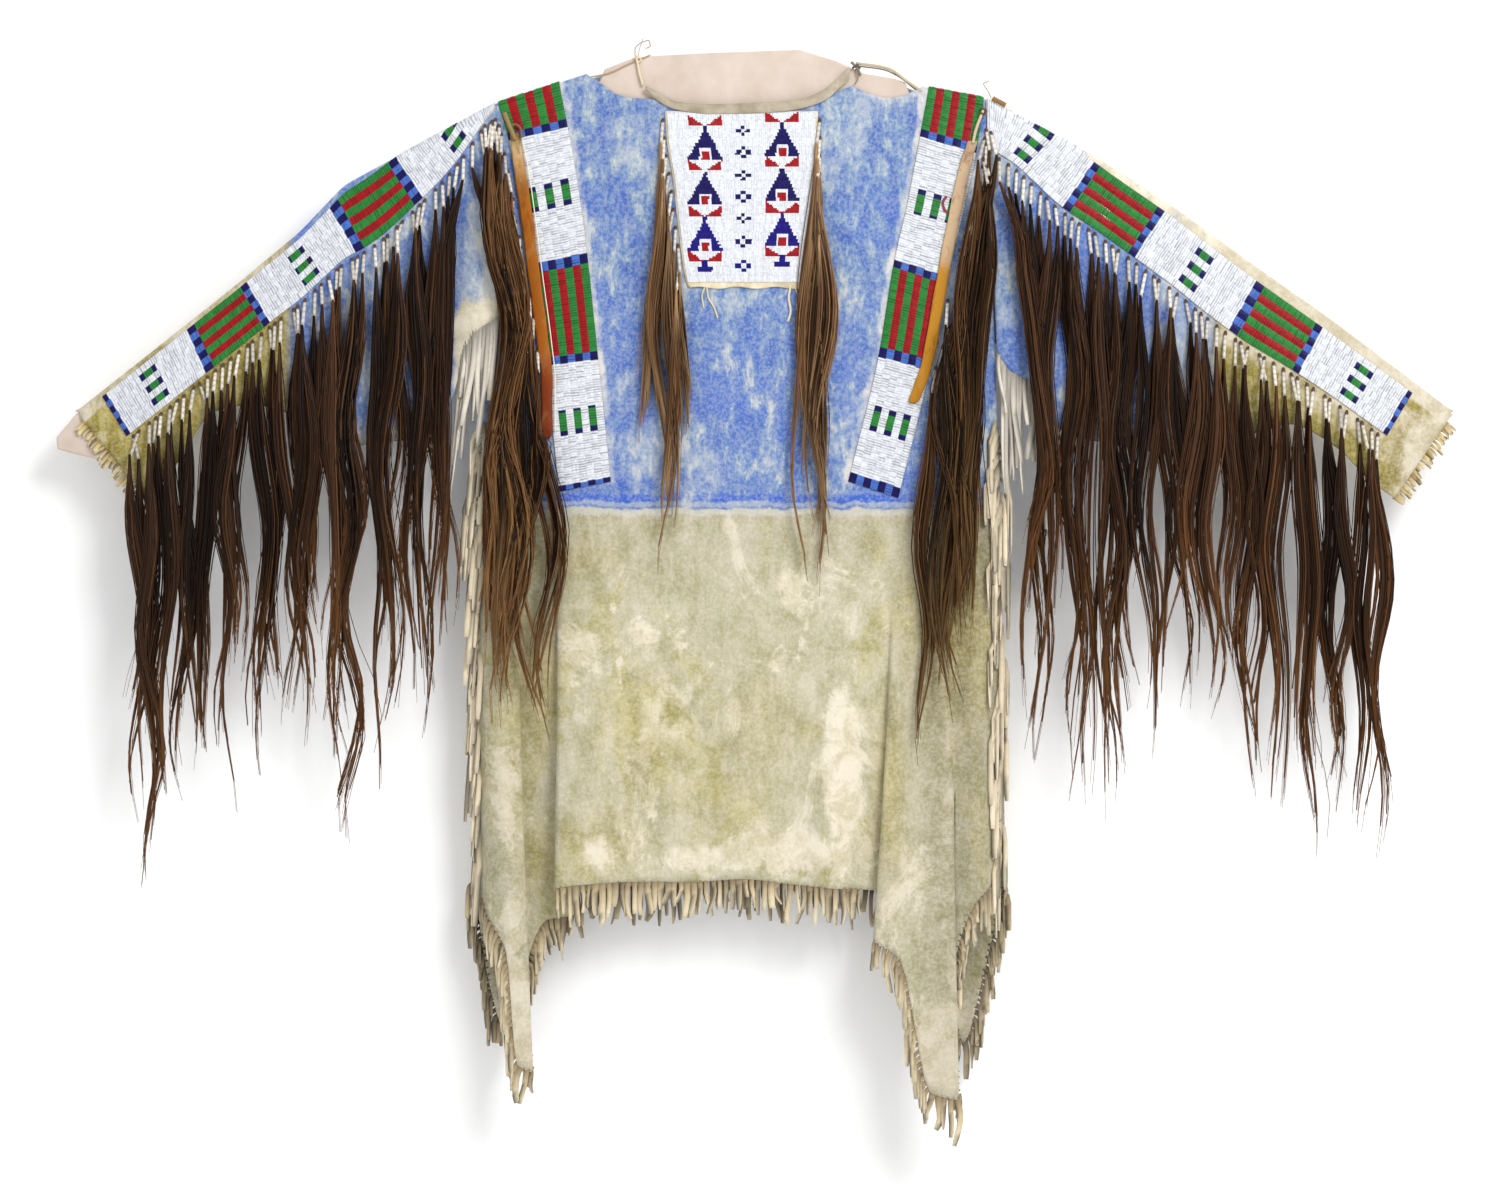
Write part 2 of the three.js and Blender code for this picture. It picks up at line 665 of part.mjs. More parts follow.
// Fringe down one side of the front, from below the underarm
function sideFringe(edgeLine, innerLine, lean, sizes) {
  const places = edgeLine.map((point, i) => i).filter((i) => edgeLine[i].z < SIDE_TOP && edgeLine[i].z > SIDE_FOOT);
  const hang = new THREE.Vector3(lean, 0, -1);
  return fringe(places.map((i) => edgeLine[i]), places.map((i) => innerLine[i]), hang, sizes);
}

// Long fringe under the inner end of a sleeve, which hangs in front of the body
function flapFringe(sleeve, last, lean, sizes) {
  const hang = new THREE.Vector3(lean, 0, -1);
  return fringe(hemPoints(sleeve, 0, last), hemPoints(sleeve, 0, last, 2), hang,
    { ...sizes, wide: 3.6, spread: 0.02, trim: 0.3 });
}

// Fringe round the front half of a cuff
function cuffFringe(sleeve, sizes) {
  const last = sleeve[sleeve.length - 1];
  const inner = sleeve[sleeve.length - 2];
  const half = (last.length + 1) / 2 + ROUND.length - 1;
  return fringe(last.slice(half), inner.slice(half), new THREE.Vector3(0, 0, -0.3), sizes);
}

const DOWN = new THREE.Vector3(0, 0, -1);
const SIDE_TOP = -395;
const SIDE_FOOT = -900;

// Small ties

const NECK_TIE_LEFT = rows("x y z wide deep", [
  [-121, -5.2, -3, 3, 2.4], [-119, -5.4, -9, 6, 3.4], [-117, -5.4, -14, 3, 2.4], [-112, -6.4, -37, 2.6, 2.4],
]);
const NECK_TIE_RIGHT = rows("x y z wide deep", [
  [117, -4.5, -12, 3, 2.4], [122, -5.1, -18, 9, 4], [127, -4.6, -25, 3, 2.4],
]);

function rod(table) {
  return strand(table.map(({ x, y, z, wide, deep }) => ({ at: new THREE.Vector3(x, y, z), wide, deep })), 6);
}

// A small wrapped bundle that lies on the right shoulder
function bundle() {
  const thick = 5;
  const out = LAID_OUT + BEADWORK / 2 + SEAM + thick / 2;
  const wides = [1.6, thick, 4, 2.4, 1.2];
  const stations = wides.map((wide, i) => ({ at: onHide(272 + 5.5 * i, 3, out), wide, deep: wide }));
  return strand(stations, 6);
}

// A pair of thongs that hangs from the lower edge of the bib
function bibTie(x, fromZ, toZ) {
  const out = HIDE / 2 + SEAM + 0.7;
  const stations = [0, 0.4, 1].map((t) => ({
    at: onHideAt(x + 3 * Math.sin(5 * t), mix(fromZ, toZ, t), out),
    wide: 3,
    deep: 2.2,
  }));
  return strand(stations, 4);
}

// Board

// The board's top edge follows the fold line, and dips behind both ends of the neck
const BOARD_TOP = [
  ...RIDGE.filter(({ x }) => x < -190).map(({ x }) => [x, BOARD_DROP]),
  [-188, BOARD_DROP], [-182, BOARD_NOTCH], [-160, BOARD_NOTCH], [-154, BOARD_DROP],
  ...RIDGE.filter(({ x }) => x > -150 && x < 170).map(({ x }) => [x, BOARD_DROP]),
  [176, BOARD_DROP], [181, BOARD_NOTCH], [203, BOARD_NOTCH], [209, BOARD_DROP],
  ...RIDGE.filter(({ x }) => x > 210).map(({ x }) => [x, BOARD_DROP]),
];

function boardGeometry() {
  const top = BOARD_TOP.map(([x, drop]) => [x, ridgeZ(x) - drop]);
  const outline = [
    ...top,
    [752, -428], [712, -448], [460, -330], [290, -290], [BOARD_HALF, -330],
    [BOARD_HALF, BOARD_FOOT], [-BOARD_HALF, BOARD_FOOT], [-BOARD_HALF, -330],
    [-290, -270], [-460, -330], [-704, -450], [-738, -442], [-756, -437], [-757, -424],
  ];
  const shape = new THREE.Shape(outline.map(([x, z]) => new THREE.Vector2(x, z)));
  const geometry = new THREE.ExtrudeGeometry(shape, {
    depth: BOARD - 2 * BOARD_BEVEL,
    bevelEnabled: true,
    bevelThickness: BOARD_BEVEL,
    bevelSize: BOARD_BEVEL,
    bevelOffset: -BOARD_BEVEL,
    bevelSegments: 1,
    curveSegments: 1,
  });
  geometry.rotateX(Math.PI / 2);
  geometry.translate(0, BOARD / 2 - BOARD_BEVEL, 0);
  return geometryOf(solidOf(geometry));
}

// The whole

const shirt = new THREE.Group();

function add(name, geometry, colour, roughness = 0.85) {
  const material = new THREE.MeshStandardMaterial({ color: colour, roughness, metalness: 0 });
  const mesh = new THREE.Mesh(geometry, material);
  mesh.name = name;
  shirt.add(mesh);
}

const sleeveLeft = SLEEVE_LEFT.map(sleeveLine);
const sleeveRight = SLEEVE_RIGHT.map(sleeveLine);

add("board", boardGeometry(), COLOURS.board);
add("body_front", wall(frontGrid, HIDE), COLOURS.olive);
add("body_back", wall(backGrid, HIDE), COLOURS.olive);
add("sleeve_left", wall(sleeveLeft, HIDE), COLOURS.blue);
add("sleeve_right", wall(sleeveRight, HIDE), COLOURS.blue);
add("strip_sleeve_left", wall(sleeveStripGrid(STRIP_SLEEVE_LEFT), BEADWORK), COLOURS.beads, 0.4);
add("strip_sleeve_right", wall(sleeveStripGrid(STRIP_SLEEVE_RIGHT), BEADWORK), COLOURS.beads, 0.4);
add("strip_body_left", wall(bodyStripGrid(STRIP_BODY_LEFT), BEADWORK), COLOURS.beads, 0.4);
add("strip_body_right", wall(bodyStripGrid(STRIP_BODY_RIGHT), BEADWORK), COLOURS.beads, 0.4);
add("bib", wall(bibGrid(), BEADWORK), COLOURS.beads, 0.4);
add("neck_trim", wall(trimGrid(), BAND), COLOURS.trim);
add("strap_left", wall(strapGrid(STRAP_LEFT), STRAP), COLOURS.strap);
add("strap_right", wall(strapGrid(STRAP_RIGHT), STRAP), COLOURS.strap);
add("hair_sleeve_left", sleeveHair(STRIP_SLEEVE_LEFT, HAIR_ENDS_LEFT, 28), COLOURS.hair, 0.6);
add("hair_sleeve_right", sleeveHair(STRIP_SLEEVE_RIGHT, HAIR_ENDS_RIGHT, 28), COLOURS.hair, 0.6);
add("hair_body_left", bodyHair(STRIP_BODY_LEFT, -1, 13, { first: -640, last: -720 }), COLOURS.hair, 0.6);
add("hair_body_right", bodyHair(STRIP_BODY_RIGHT, 1, 13, { first: -640, last: -740 }), COLOURS.hair, 0.6);
add("hair_bib_left", bibHair("leftX", -1, 5), COLOURS.hair, 0.6);
add("hair_bib_right", bibHair("rightX", 1, 5), COLOURS.hair, 0.6);
add("fringe_hem_left", hemFringe(frontGrid, 0, 7, { long: 34, count: 18, seed: 31 }), COLOURS.fringe);
add("fringe_hem_centre", hemFringe(frontGrid, 8, 16, { long: 34, count: 40, seed: 32 }), COLOURS.fringe);
add("fringe_hem_right", hemFringe(frontGrid, 18, 24, { long: 34, count: 18, seed: 33 }), COLOURS.fringe);
add("fringe_hem_back", hemFringe(backGrid, 0, 15, { long: 30, count: 20, seed: 34 }), COLOURS.fringe);
add("fringe_side_left", sideFringe(frontGrid[0], frontGrid[1], -0.2,
  { long: 75, count: 9, seed: 35 }), COLOURS.fringe);
add("fringe_side_right", sideFringe(frontGrid[24], frontGrid[23], 0.1,
  { long: 75, count: 9, seed: 36 }), COLOURS.fringe);
add("fringe_flap_left", flapFringe(sleeveLeft, 1, -0.05, { long: 90, count: 5, seed: 37 }), COLOURS.fringe);
add("fringe_flap_right", flapFringe(sleeveRight, 2, 0.05, { long: 90, count: 7, seed: 38 }), COLOURS.fringe);
add("fringe_cuff_left", cuffFringe(sleeveLeft, { long: 20, count: 7, seed: 39 }), COLOURS.fringe);
add("fringe_cuff_right", cuffFringe(sleeveRight, { long: 20, count: 7, seed: 40 }), COLOURS.fringe);
add("neck_tie_left", rod(NECK_TIE_LEFT), COLOURS.thong);
add("neck_tie_right", rod(NECK_TIE_RIGHT), COLOURS.thong);
add("shoulder_bundle", bundle(), COLOURS.thong);
add("bib_tie_left", bibTie(-42, -262, -290), COLOURS.thong);
add("bib_tie_right", bibTie(52, -260, -296), COLOURS.thong);

export default shirt;
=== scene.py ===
# A plains war shirt of painted hide with beaded strips, hair locks and cut fringe,
# hung on a flat cloth-covered board. Front is -Y and up is +Z.
# Tables and sizes are in millimetres, and meshes are made in metres.
import math

import bpy
import numpy as np
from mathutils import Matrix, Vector


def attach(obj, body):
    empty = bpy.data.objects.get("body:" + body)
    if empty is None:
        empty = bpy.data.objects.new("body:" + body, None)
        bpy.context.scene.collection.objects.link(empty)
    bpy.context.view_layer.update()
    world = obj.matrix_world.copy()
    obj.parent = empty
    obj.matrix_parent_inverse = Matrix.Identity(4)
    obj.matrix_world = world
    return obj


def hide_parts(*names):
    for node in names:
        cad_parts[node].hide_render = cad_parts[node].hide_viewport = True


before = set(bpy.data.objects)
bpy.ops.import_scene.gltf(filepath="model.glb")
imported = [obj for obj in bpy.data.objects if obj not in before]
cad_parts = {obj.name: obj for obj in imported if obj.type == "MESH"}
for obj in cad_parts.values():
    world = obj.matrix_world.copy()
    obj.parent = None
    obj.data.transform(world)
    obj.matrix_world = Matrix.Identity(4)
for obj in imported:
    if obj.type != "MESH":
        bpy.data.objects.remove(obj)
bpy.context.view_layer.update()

MM = 0.001

# Driving sizes, as in the solids
HIDE = 2.0
LAID = 0.6
FOLD = 5.0
QUARTER = FOLD * math.pi / 2
SHOULDER_SEAM = 0.8
WAIST = -504.0
TOP_OF_HIDE = HIDE / 2
BEAD_BASE = TOP_OF_HIDE + LAID
STRAP_OUT = 5.0
STRAP_WIDE = 13.0

# Beads
BEAD = 1.9
ROW = 2.8
LANES = 7
BEADS_ACROSS_LANE = 4
BEAD_LOW = 0.5
BEAD_RISE = 0.8
LANE_RISE = 0.35

COLOURS = {
    "white": "#e4e7ed",
    "green": "#2c8238",
    "red": "#a01019",
    "navy": "#110b58",
    "navy_bright": "#180f78",
    "light": "#4a70c4",
    "fringe": "#d8c8a8",
    "wrap": "#d6d0c6",
    "knot": "#4a3120",
}


def rows(names, *values):
    return dict(zip(names.split(), np.array(values, float).T))


# The fold line over the shoulders, arms and neck, at the middle of the hide
RIDGE = rows(
    "x z", (-736, -397), (-561, -258.5), (-489.5, -199), (-440, -147), (-273, -57),
    (-174, -25), (-120, -4), (-49, 0), (0, 1.8), (60, 4), (99, -8), (130, -22),
    (165, -28), (195, -39), (264, -52), (385, -116), (468, -169), (556, -233),
    (644, -295), (779, -397),
)

# The top edge of the front at the neck
NECK_FRONT = rows(
    "x z", (-174, -25), (-160, -34), (-144, -46), (-130, -51), (-99, -53), (-80, -61),
    (-61, -64), (0, -65), (61, -64), (80, -57), (102, -44), (118, -38), (134, -46),
    (156, -52), (174, -49), (195, -39),
)

# Guide lines down the front and the back, from the top edge past the waist to the hem
FRONT = rows(
    "topX waistX hemX hemZ hemY",
    (-272.8, -291.5, -290.5, -925, 2), (-268, -285, -280, -953, -16),
    (-263, -276, -261, -988, -26), (-257, -267, -249, -1111, -28),
    (-252, -257, -233, -1120, -22), (-246, -249, -243, -1027, -4),
    (-238, -235, -219, -955, 1), (-229, -217, -188, -948, -3),
    (-218, -201, -208, -920, -24), (-178, -168, -165, -913, -32),
    (-164, -135, -128, -911, -28), (-137, -100, -93, -911, -22),
    (-99, -61, -61, -912, -19), (-10, -2, -2, -908, -26), (72, 55, 50, -914, -21),
    (118, 102, 96, -918, -32), (160, 129, 129, -920, -19), (186, 153, 162, -925, -12),
    (199, 174, 141, -972, -33), (218, 190, 169, -994, -42), (232, 204, 202, -1140, -40),
    (243, 219, 233, -1149, -33), (250, 233, 227, -1027, -24), (257, 255, 251, -935, -32),
    (263.6, 280.5, 277, -913, 0),
)
BACK = rows(
    "topX waistX hemX hemZ hemY",
    (-272.8, -291.5, -300, -911, 13), (-261, -276, -283, -1027, 25),
    (-248, -260, -263, -1081, 29), (-226, -230, -226, -961, 15),
    (-178, -190, -190, -930, 20), (-164, -165, -165, -922, 23), (-94, -94, -94, -917, 15),
    (-2, -2, -2, -911, 21), (88, 88, 88, -915, 14), (150, 145, 145, -924, 23),
    (186, 178, 178, -930, 20), (199, 194, 194, -940, 17), (216, 210, 211, -966, 15),
    (237, 239, 241, -1093, 29), (253, 262, 263, -1021, 25), (263.6, 280.5, 287, -911, 13),
)

# Sections across each sleeve, from the fold line to the open lower edge
SLEEVE_LEFT = rows(
    "topX lowX lowZ",
    (-273.4, -270, -292), (-305, -300, -314), (-336, -325, -388), (-374, -369, -427),
    (-410, -399, -430), (-440, -428, -435), (-468, -451, -440), (-489.5, -476, -447),
    (-522, -506, -396), (-561, -544, -389), (-616, -583, -396), (-671, -622, -451),
    (-710, -644, -480), (-736, -656, -492),
)
SLEEVE_RIGHT = rows(
    "topX lowX lowZ",
    (264.4, 276, -330), (280, 291, -352), (300, 318, -366), (336, 338, -410),
    (363, 368, -425), (385, 390, -430), (424, 421, -436), (468, 460, -443),
    (512, 495, -451), (556, 525, -427), (600, 569, -418), (644, 600, -410),
    (698, 649, -435), (743, 685, -471), (779, 713, -491),
)

# The edges of each beaded sleeve strip: its place along the sleeve, and how far
# down the cloth it lies from the fold line, negative when it is behind
STRIP_SLEEVE_LEFT = rows(
    "lowX low highX high",
    (-679, 74, -706, 9), (-590, 74, -612, 9), (-522, 75, -548, 9), (-424, 84, -453, 11),
    (-356, 64, -385, 3), (-318, 44, -352, -16), (-293, 22, -326, -40), (-275, 6, -275, -64),
)
STRIP_SLEEVE_RIGHT = rows(
    "lowX low highX high",
    (705, 84, 733, 16), (607, 88, 634, 18), (530, 94, 561, 18), (426, 86, 459, 14),
    (350, 78, 384, 9), (318, 66, 359, -3), (292, 57, 332, -11), (266, 55, 266, -24),
)

# The edges of each beaded body strip, from the fold line down the front
STRIP_BODY_LEFT = rows(
    "innerX innerZ outerX outerZ",
    (-204, -35, -271.5, -57), (-196, -76, -261, -91), (-183, -150, -246, -166),
    (-173, -223, -234, -235), (-162, -327, -220, -334), (-147, -473, -204, -484),
)
STRIP_BODY_RIGHT = rows(
    "innerX innerZ outerX outerZ",
    (202, -40, 262.5, -52), (191, -99, 253, -117), (178, -168, 238, -184),
    (163, -234, 220, -252), (146, -337, 202, -352), (113, -473, 168, -491),
)

BIB = rows(
    "z leftX rightX",
    (-66, -88, 80), (-100, -86, 80), (-142, -79, 79), (-197, -73, 75), (-238, -68, 72),
    (-254, -65, 70), (-261, -61, 66),
)

# The rolled band round the front of the neck
NECK_TRIM = rows(
    "x high low",
    (-109, -39, -43), (-90, -49, -58), (-76, -56, -64), (-36, -59, -69), (22, -57, -68),
    (58, -54, -64), (88, -42, -54), (104, -28, -40), (114, -18, -32),
)

STRAP_LEFT = rows(
    "x z", (-253, -90), (-248, -125), (-241, -170), (-232, -240), (-222, -317),
    (-217, -361), (-217, -427),
)
STRAP_RIGHT = rows(
    "x z", (250, -99), (242, -125), (227, -195), (212, -275), (199, -345), (184, -387),
)

# Where the sleeve hair ends, by the place of its root
HAIR_ENDS_LEFT = rows(
    "x z", (-660, -905), (-610, -800), (-560, -790), (-500, -760), (-460, -740),
    (-420, -880), (-380, -760), (-330, -740), (-270, -640),
)
HAIR_ENDS_RIGHT = rows(
    "x z", (290, -740), (340, -780), (385, -910), (430, -750), (500, -740), (560, -800),
    (610, -830), (640, -880), (680, -880),
)

# The gap between the sleeve hair and the body hair, where the flap and the side fringe show
PARTING_LEFT = rows(
    "z armX bodyX",
    (-130, -306, -300), (-190, -310, -295), (-213, -311, -286), (-245, -312, -276),
    (-273, -312, -266), (-299, -313, -259), (-330, -314, -259), (-364, -314, -264),
    (-400, -315, -274), (-425, -316, -283), (-470, -317, -295), (-600, -317, -299),
    (-700, -314, -300), (-800, -310, -304),
)
PARTING_RIGHT = rows(
    "z bodyX armX",
    (-120, 283, 290), (-174, 275, 293), (-244, 269, 297), (-295, 261, 305), (-345, 257, 311),
    (-396, 256, 318), (-427, 254, 320), (-470, 250, 321), (-537, 250, 304), (-603, 251, 298),
    (-713, 262, 296), (-790, 276, 292),
)

# The kinds of field along a beaded strip, each from one way along to the next
BODY_FIELDS_LEFT = (
    ("stripes", 0, 40), ("checks", 40, 50), ("bars", 105, 132), ("checks", 190, 200),
    ("stripes", 200, 294), ("checks", 294, 304), ("bars", 353, 382), ("checks", 434, 446),
)
BODY_FIELDS_RIGHT = (
    ("stripes", 0, 51), ("checks", 51, 61), ("bars", 117, 145), ("checks", 199, 209),
    ("stripes", 209, 296), ("checks", 296, 306), ("bars", 360, 387), ("checks", 437, 450),
)
SLEEVE_FIELDS_LEFT = (
    ("checks", 0, 6), ("bars", 46, 67), ("checks", 116, 125), ("stripes", 125, 193),
    ("checks", 193, 202), ("bars", 254, 276), ("checks", 326, 335), ("stripes", 335, 407),
    ("checks", 407, 416), ("bars", 474, 495),
)
SLEEVE_FIELDS_RIGHT = (
    ("checks", 0, 6), ("bars", 48, 69), ("checks", 119, 128), ("stripes", 128, 200),
    ("checks", 200, 209), ("bars", 264, 286), ("checks", 339, 348), ("stripes", 348, 425),
    ("checks", 425, 434), ("bars", 490, 511),
)
BAR_END = 5.0
PER_GUIDE = 5

# Soft creases of the hide, as lines with a width and a depth that is negative for a ridge
CREASES_FRONT = rows(
    "x0 z0 x1 z1 wide deep",
    (-100, -60, -165, -130, 9, 1.6), (-120, -70, -150, -210, 14, -1.0),
    (95, -60, 150, -120, 10, 1.3), (110, -90, 130, -260, 14, -0.9),
    (-205, -508, 160, -505, 5, 1.5), (-190, -518, 150, -516, 5, -1.1),
    (-120, -290, -140, -470, 16, 1.2), (60, -300, 85, -480, 18, 1.1),
    (-20, -520, -35, -760, 20, 1.4), (60, -560, 78, -880, 18, -1.3),
    (-95, -600, -80, -900, 16, -1.2), (110, -620, 120, -900, 14, 1.5),
    (205, -560, 185, -760, 12, 1.6), (235, -620, 215, -900, 10, -1.4),
    (-250, -560, -240, -840, 9, 1.6), (-265, -640, -250, -980, 9, -1.4),
    (-400, -190, -420, -400, 12, 1.6), (-340, -150, -330, -330, 12, 1.5),
    (-460, -240, -470, -430, 12, -1.4), (-540, -300, -560, -390, 10, 1.5),
    (400, -190, 410, -400, 12, 1.6), (330, -150, 335, -360, 12, 1.5),
    (470, -240, 470, -430, 12, -1.4), (560, -310, 550, -410, 10, 1.5),
)
CREASES_BACK = rows(
    "x0 z0 x1 z1 wide deep",
    (-90, -40, -150, -150, 10, 1.6), (90, -45, 150, -160, 10, 1.5),
    (-180, -505, 180, -508, 6, 1.4), (-60, -120, -50, -420, 20, 1.3),
    (40, -160, 60, -470, 20, -1.2), (-120, -540, -110, -880, 18, 1.4),
    (10, -560, 0, -860, 20, -1.3), (120, -540, 130, -880, 16, 1.4),
    (-420, -200, -430, -400, 12, 1.6), (-340, -150, -330, -330, 12, -1.4),
    (420, -200, 430, -410, 12, 1.6), (340, -150, 335, -360, 12, -1.4),
    (-560, -300, -560, -380, 10, 1.4), (570, -310, 560, -400, 10, 1.4),
)

# Soft spots on the lower front where the paint is worn, or is a deeper yellow
WORN_SPOTS = rows(
    "x z wide high much",
    (105, -790, 24, 95, 0.95), (80, -880, 60, 24, 0.8), (-40, -885, 60, 18, 0.7),
    (-75, -720, 40, 50, 0.5), (-160, -880, 26, 34, 0.6), (-180, -720, 18, 60, 0.4),
    (-262, -820, 16, 80, 0.45), (-255, -960, 20, 60, 0.4), (190, -900, 26, 60, 0.45),
    (222, -820, 12, 90, 0.4), (60, -600, 60, 30, 0.3), (215, -1130, 30, 40, 0.8),
    (110, -640, 16, 60, 0.45),
)
OCHRE_SPOTS = rows(
    "x z wide high much",
    (-105, -740, 50, 60, 0.4), (-150, -870, 40, 40, 0.35), (20, -740, 50, 60, 0.25),
    (-20, -820, 60, 40, 0.3), (158, -800, 16, 90, 0.6), (-235, -680, 30, 80, 0.45),
    (225, -620, 46, 90, 0.8), (-200, -560, 60, 26, 0.45), (-230, -890, 20, 40, 0.35),
)


# Numbers and curves

TINY = 1e-9


def mix(a, b, t):
    return a + (b - a) * t


def smooth(value):
    t = np.clip(value, 0, 1)
    return t * t * (3 - 2 * t)


def through(values, at):
    """A smooth value between evenly numbered ones, which never swings past them."""
    values = np.asarray(values, float)
    at = np.asarray(at, float)
    step = np.diff(values)
    slope = np.zeros(len(values))
    before, after = step[:-1], step[1:]
    same = before * after > 0
    total = np.where(same, before + after, 1)
    slope[1:-1] = np.where(same, 2 * before * after / total, 0)
    slope[0], slope[-1] = step[0], step[-1]
    i = np.clip(at.astype(int), 0, len(values) - 2)
    t = at - i
    start = values[i] * (1 + 2 * t) * (1 - t) ** 2 + slope[i] * t * (1 - t) ** 2
    end = values[i + 1] * t * t * (3 - 2 * t) + slope[i + 1] * t * t * (t - 1)
    return start + end


def row_at(table, place):
    return {name: through(column, place) for name, column in table.items()}


def length_of(table):
    return len(next(iter(table.values()))) - 1


def ways_along(points):
    gaps = np.linalg.norm(np.diff(points, axis=0), axis=1)
    return np.concatenate([[0], np.cumsum(gaps)])


def by_height(table, column, z):
    """A column's value at a height, in a table that goes down."""
    return np.interp(-z, -table["z"], table[column])


def unit(ways):
    return ways / np.maximum(np.linalg.norm(ways, axis=-1, keepdims=True), TINY)


def linear(hex_colour):
    values = [int(hex_colour[i:i + 2], 16) / 255 for i in (1, 3, 5)]
    return [v / 12.92 if v <= 0.04045 else ((v + 0.055) / 1.055) ** 2.4 for v in values]


# The cloth's form

RIDGE_ROUNDING = 6.0
CREASE_END = 0.25

# Where the hide begins to stand off the board, below the fold line and beside the middle
SETTLES_OVER = 60
BODY_REACH = 190
BODY_OVER = 220
ARM_FROM = 300
ARM_LOW = 170


def ridge_z(x):
    steps = (-RIDGE_ROUNDING, 0, RIDGE_ROUNDING)
    return sum(np.interp(x + step, RIDGE["x"], RIDGE["z"]) for step in steps) / len(steps)


def crease_depth(table, x, z):
    total = np.zeros(np.broadcast(x, z).shape)
    for x0, z0, x1, z1, wide, deep in zip(*table.values()):
        way = np.array([x1 - x0, z1 - z0])
        t = ((x - x0) * way[0] + (z - z0) * way[1]) / way.dot(way)
        off = np.hypot(x - (x0 + t * way[0]), z - (z0 + t * way[1]))
        fade = smooth((t + CREASE_END) / 0.5) * smooth((1 + CREASE_END - t) / 0.5)
        total += deep * np.exp(-((off / wide) ** 2)) * fade
    return total


def relief(x, z, side):
    """How far the hide stands out of its plain form, for its creases and slow waves."""
    waves = 0.5 * np.sin(x / 31 + z / 83) + 0.4 * np.sin(z / 47 - x / 61)
    front = crease_depth(CREASES_FRONT, x, z)
    back = crease_depth(CREASES_BACK, x, z)
    return waves - np.where(side > 0, front, back)


def bulge(x, drop, side):
    """How far the hide stands off the board, in front and behind."""
    body = np.exp(-((x / BODY_REACH) ** 2))
    settled = smooth((drop - FOLD) / BODY_OVER)
    arm = smooth((np.abs(x) - ARM_FROM) / 80) * smooth((drop - ARM_LOW) / 140)
    front = settled * (6 + 8 * body) + arm * (3 + 3 * np.sin(x / 19))
    back = settled * (3 + 3 * body)
    return np.where(side > 0, front, back)


def along_for(drop):
    on_round = FOLD * np.arccos(np.clip((FOLD - drop) / FOLD, -1, 1))
    return np.where(drop >= FOLD, QUARTER + drop - FOLD, on_round)


def on_hide(x, along, out=0.0):
    """A point of the hide: along is its way from the fold line, negative behind,
    and out is how far it lies above the middle of the hide."""
    x, along, out = np.broadcast_arrays(np.asarray(x, float), along, out)
    side = np.where(along < 0, -1.0, 1.0)
    way = np.abs(along)
    reach = FOLD + out
    angle = np.minimum(way / FOLD, math.pi / 2)
    drop = np.maximum(way - QUARTER, 0) + FOLD
    z_flat = ridge_z(x) - drop
    settled = smooth((drop - FOLD) / SETTLES_OVER)
    y_flat = reach + bulge(x, drop, side) + settled * relief(x, z_flat, side)
    flat = way >= QUARTER
    y = np.where(flat, y_flat, reach * np.sin(angle))
    z = np.where(flat, z_flat, ridge_z(x) - FOLD + reach * np.cos(angle))
    return np.stack([x, -side * y, z], -1)


def on_hide_at(x, z, out=0.0, side=1):
    return on_hide(x, side * along_for(ridge_z(x) - z), out)


# Meshes


def add_mesh(name, points, faces, material, tones=None, domain="POINT"):
    """An object from points in millimetres and arrays of faces of one size each.
    Its tones are colours of its own, one for each point or each corner of a face."""
    mesh = bpy.data.meshes.new(name)
    mesh.vertices.add(len(points))
    mesh.vertices.foreach_set("co", (np.asarray(points) * MM).astype(np.float32).ravel())
    corners = np.concatenate([group.ravel() for group in faces])
    counts = np.concatenate([np.full(len(group), group.shape[1]) for group in faces])
    mesh.loops.add(len(corners))
    mesh.loops.foreach_set("vertex_index", corners.astype(np.int32))
    mesh.polygons.add(len(counts))
    mesh.polygons.foreach_set("loop_start", (np.cumsum(counts) - counts).astype(np.int32))
    mesh.update(calc_edges=True)
    mesh.shade_smooth()
    if tones is not None:
        layer = mesh.color_attributes.new("tone", "FLOAT_COLOR", domain)
        full = np.ones((len(tones), 4), np.float32)
        full[:, :3] = tones
        layer.data.foreach_set("color", full.ravel())
    mesh.materials.append(material)
    piece = bpy.data.objects.new(name, mesh)
    bpy.context.scene.collection.objects.link(piece)
    return piece


def dress(piece, slot, *nodes):
    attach(piece, "root")
    if nodes:
        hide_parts(*nodes)
    return piece


def grid_quads(high, wide, start=0):
    i, j = np.meshgrid(np.arange(high - 1), np.arange(wide - 1), indexing="ij")
    a = (start + i * wide + j).ravel()
    return np.stack([a, a + wide, a + wide + 1, a + 1], 1)


def volume_of(points, faces):
    total = 0.0
    for group in faces:
        a = points[group[:, 0]]
        for k in range(1, group.shape[1] - 1):
            turned = np.cross(points[group[:, k]], points[group[:, k + 1]])
            total += np.einsum("ij,ij->i", a, turned).sum()
    return total


def outward(points, faces):
    if volume_of(points, faces) < 0:
        return [group[:, ::-1] for group in faces]
    return faces


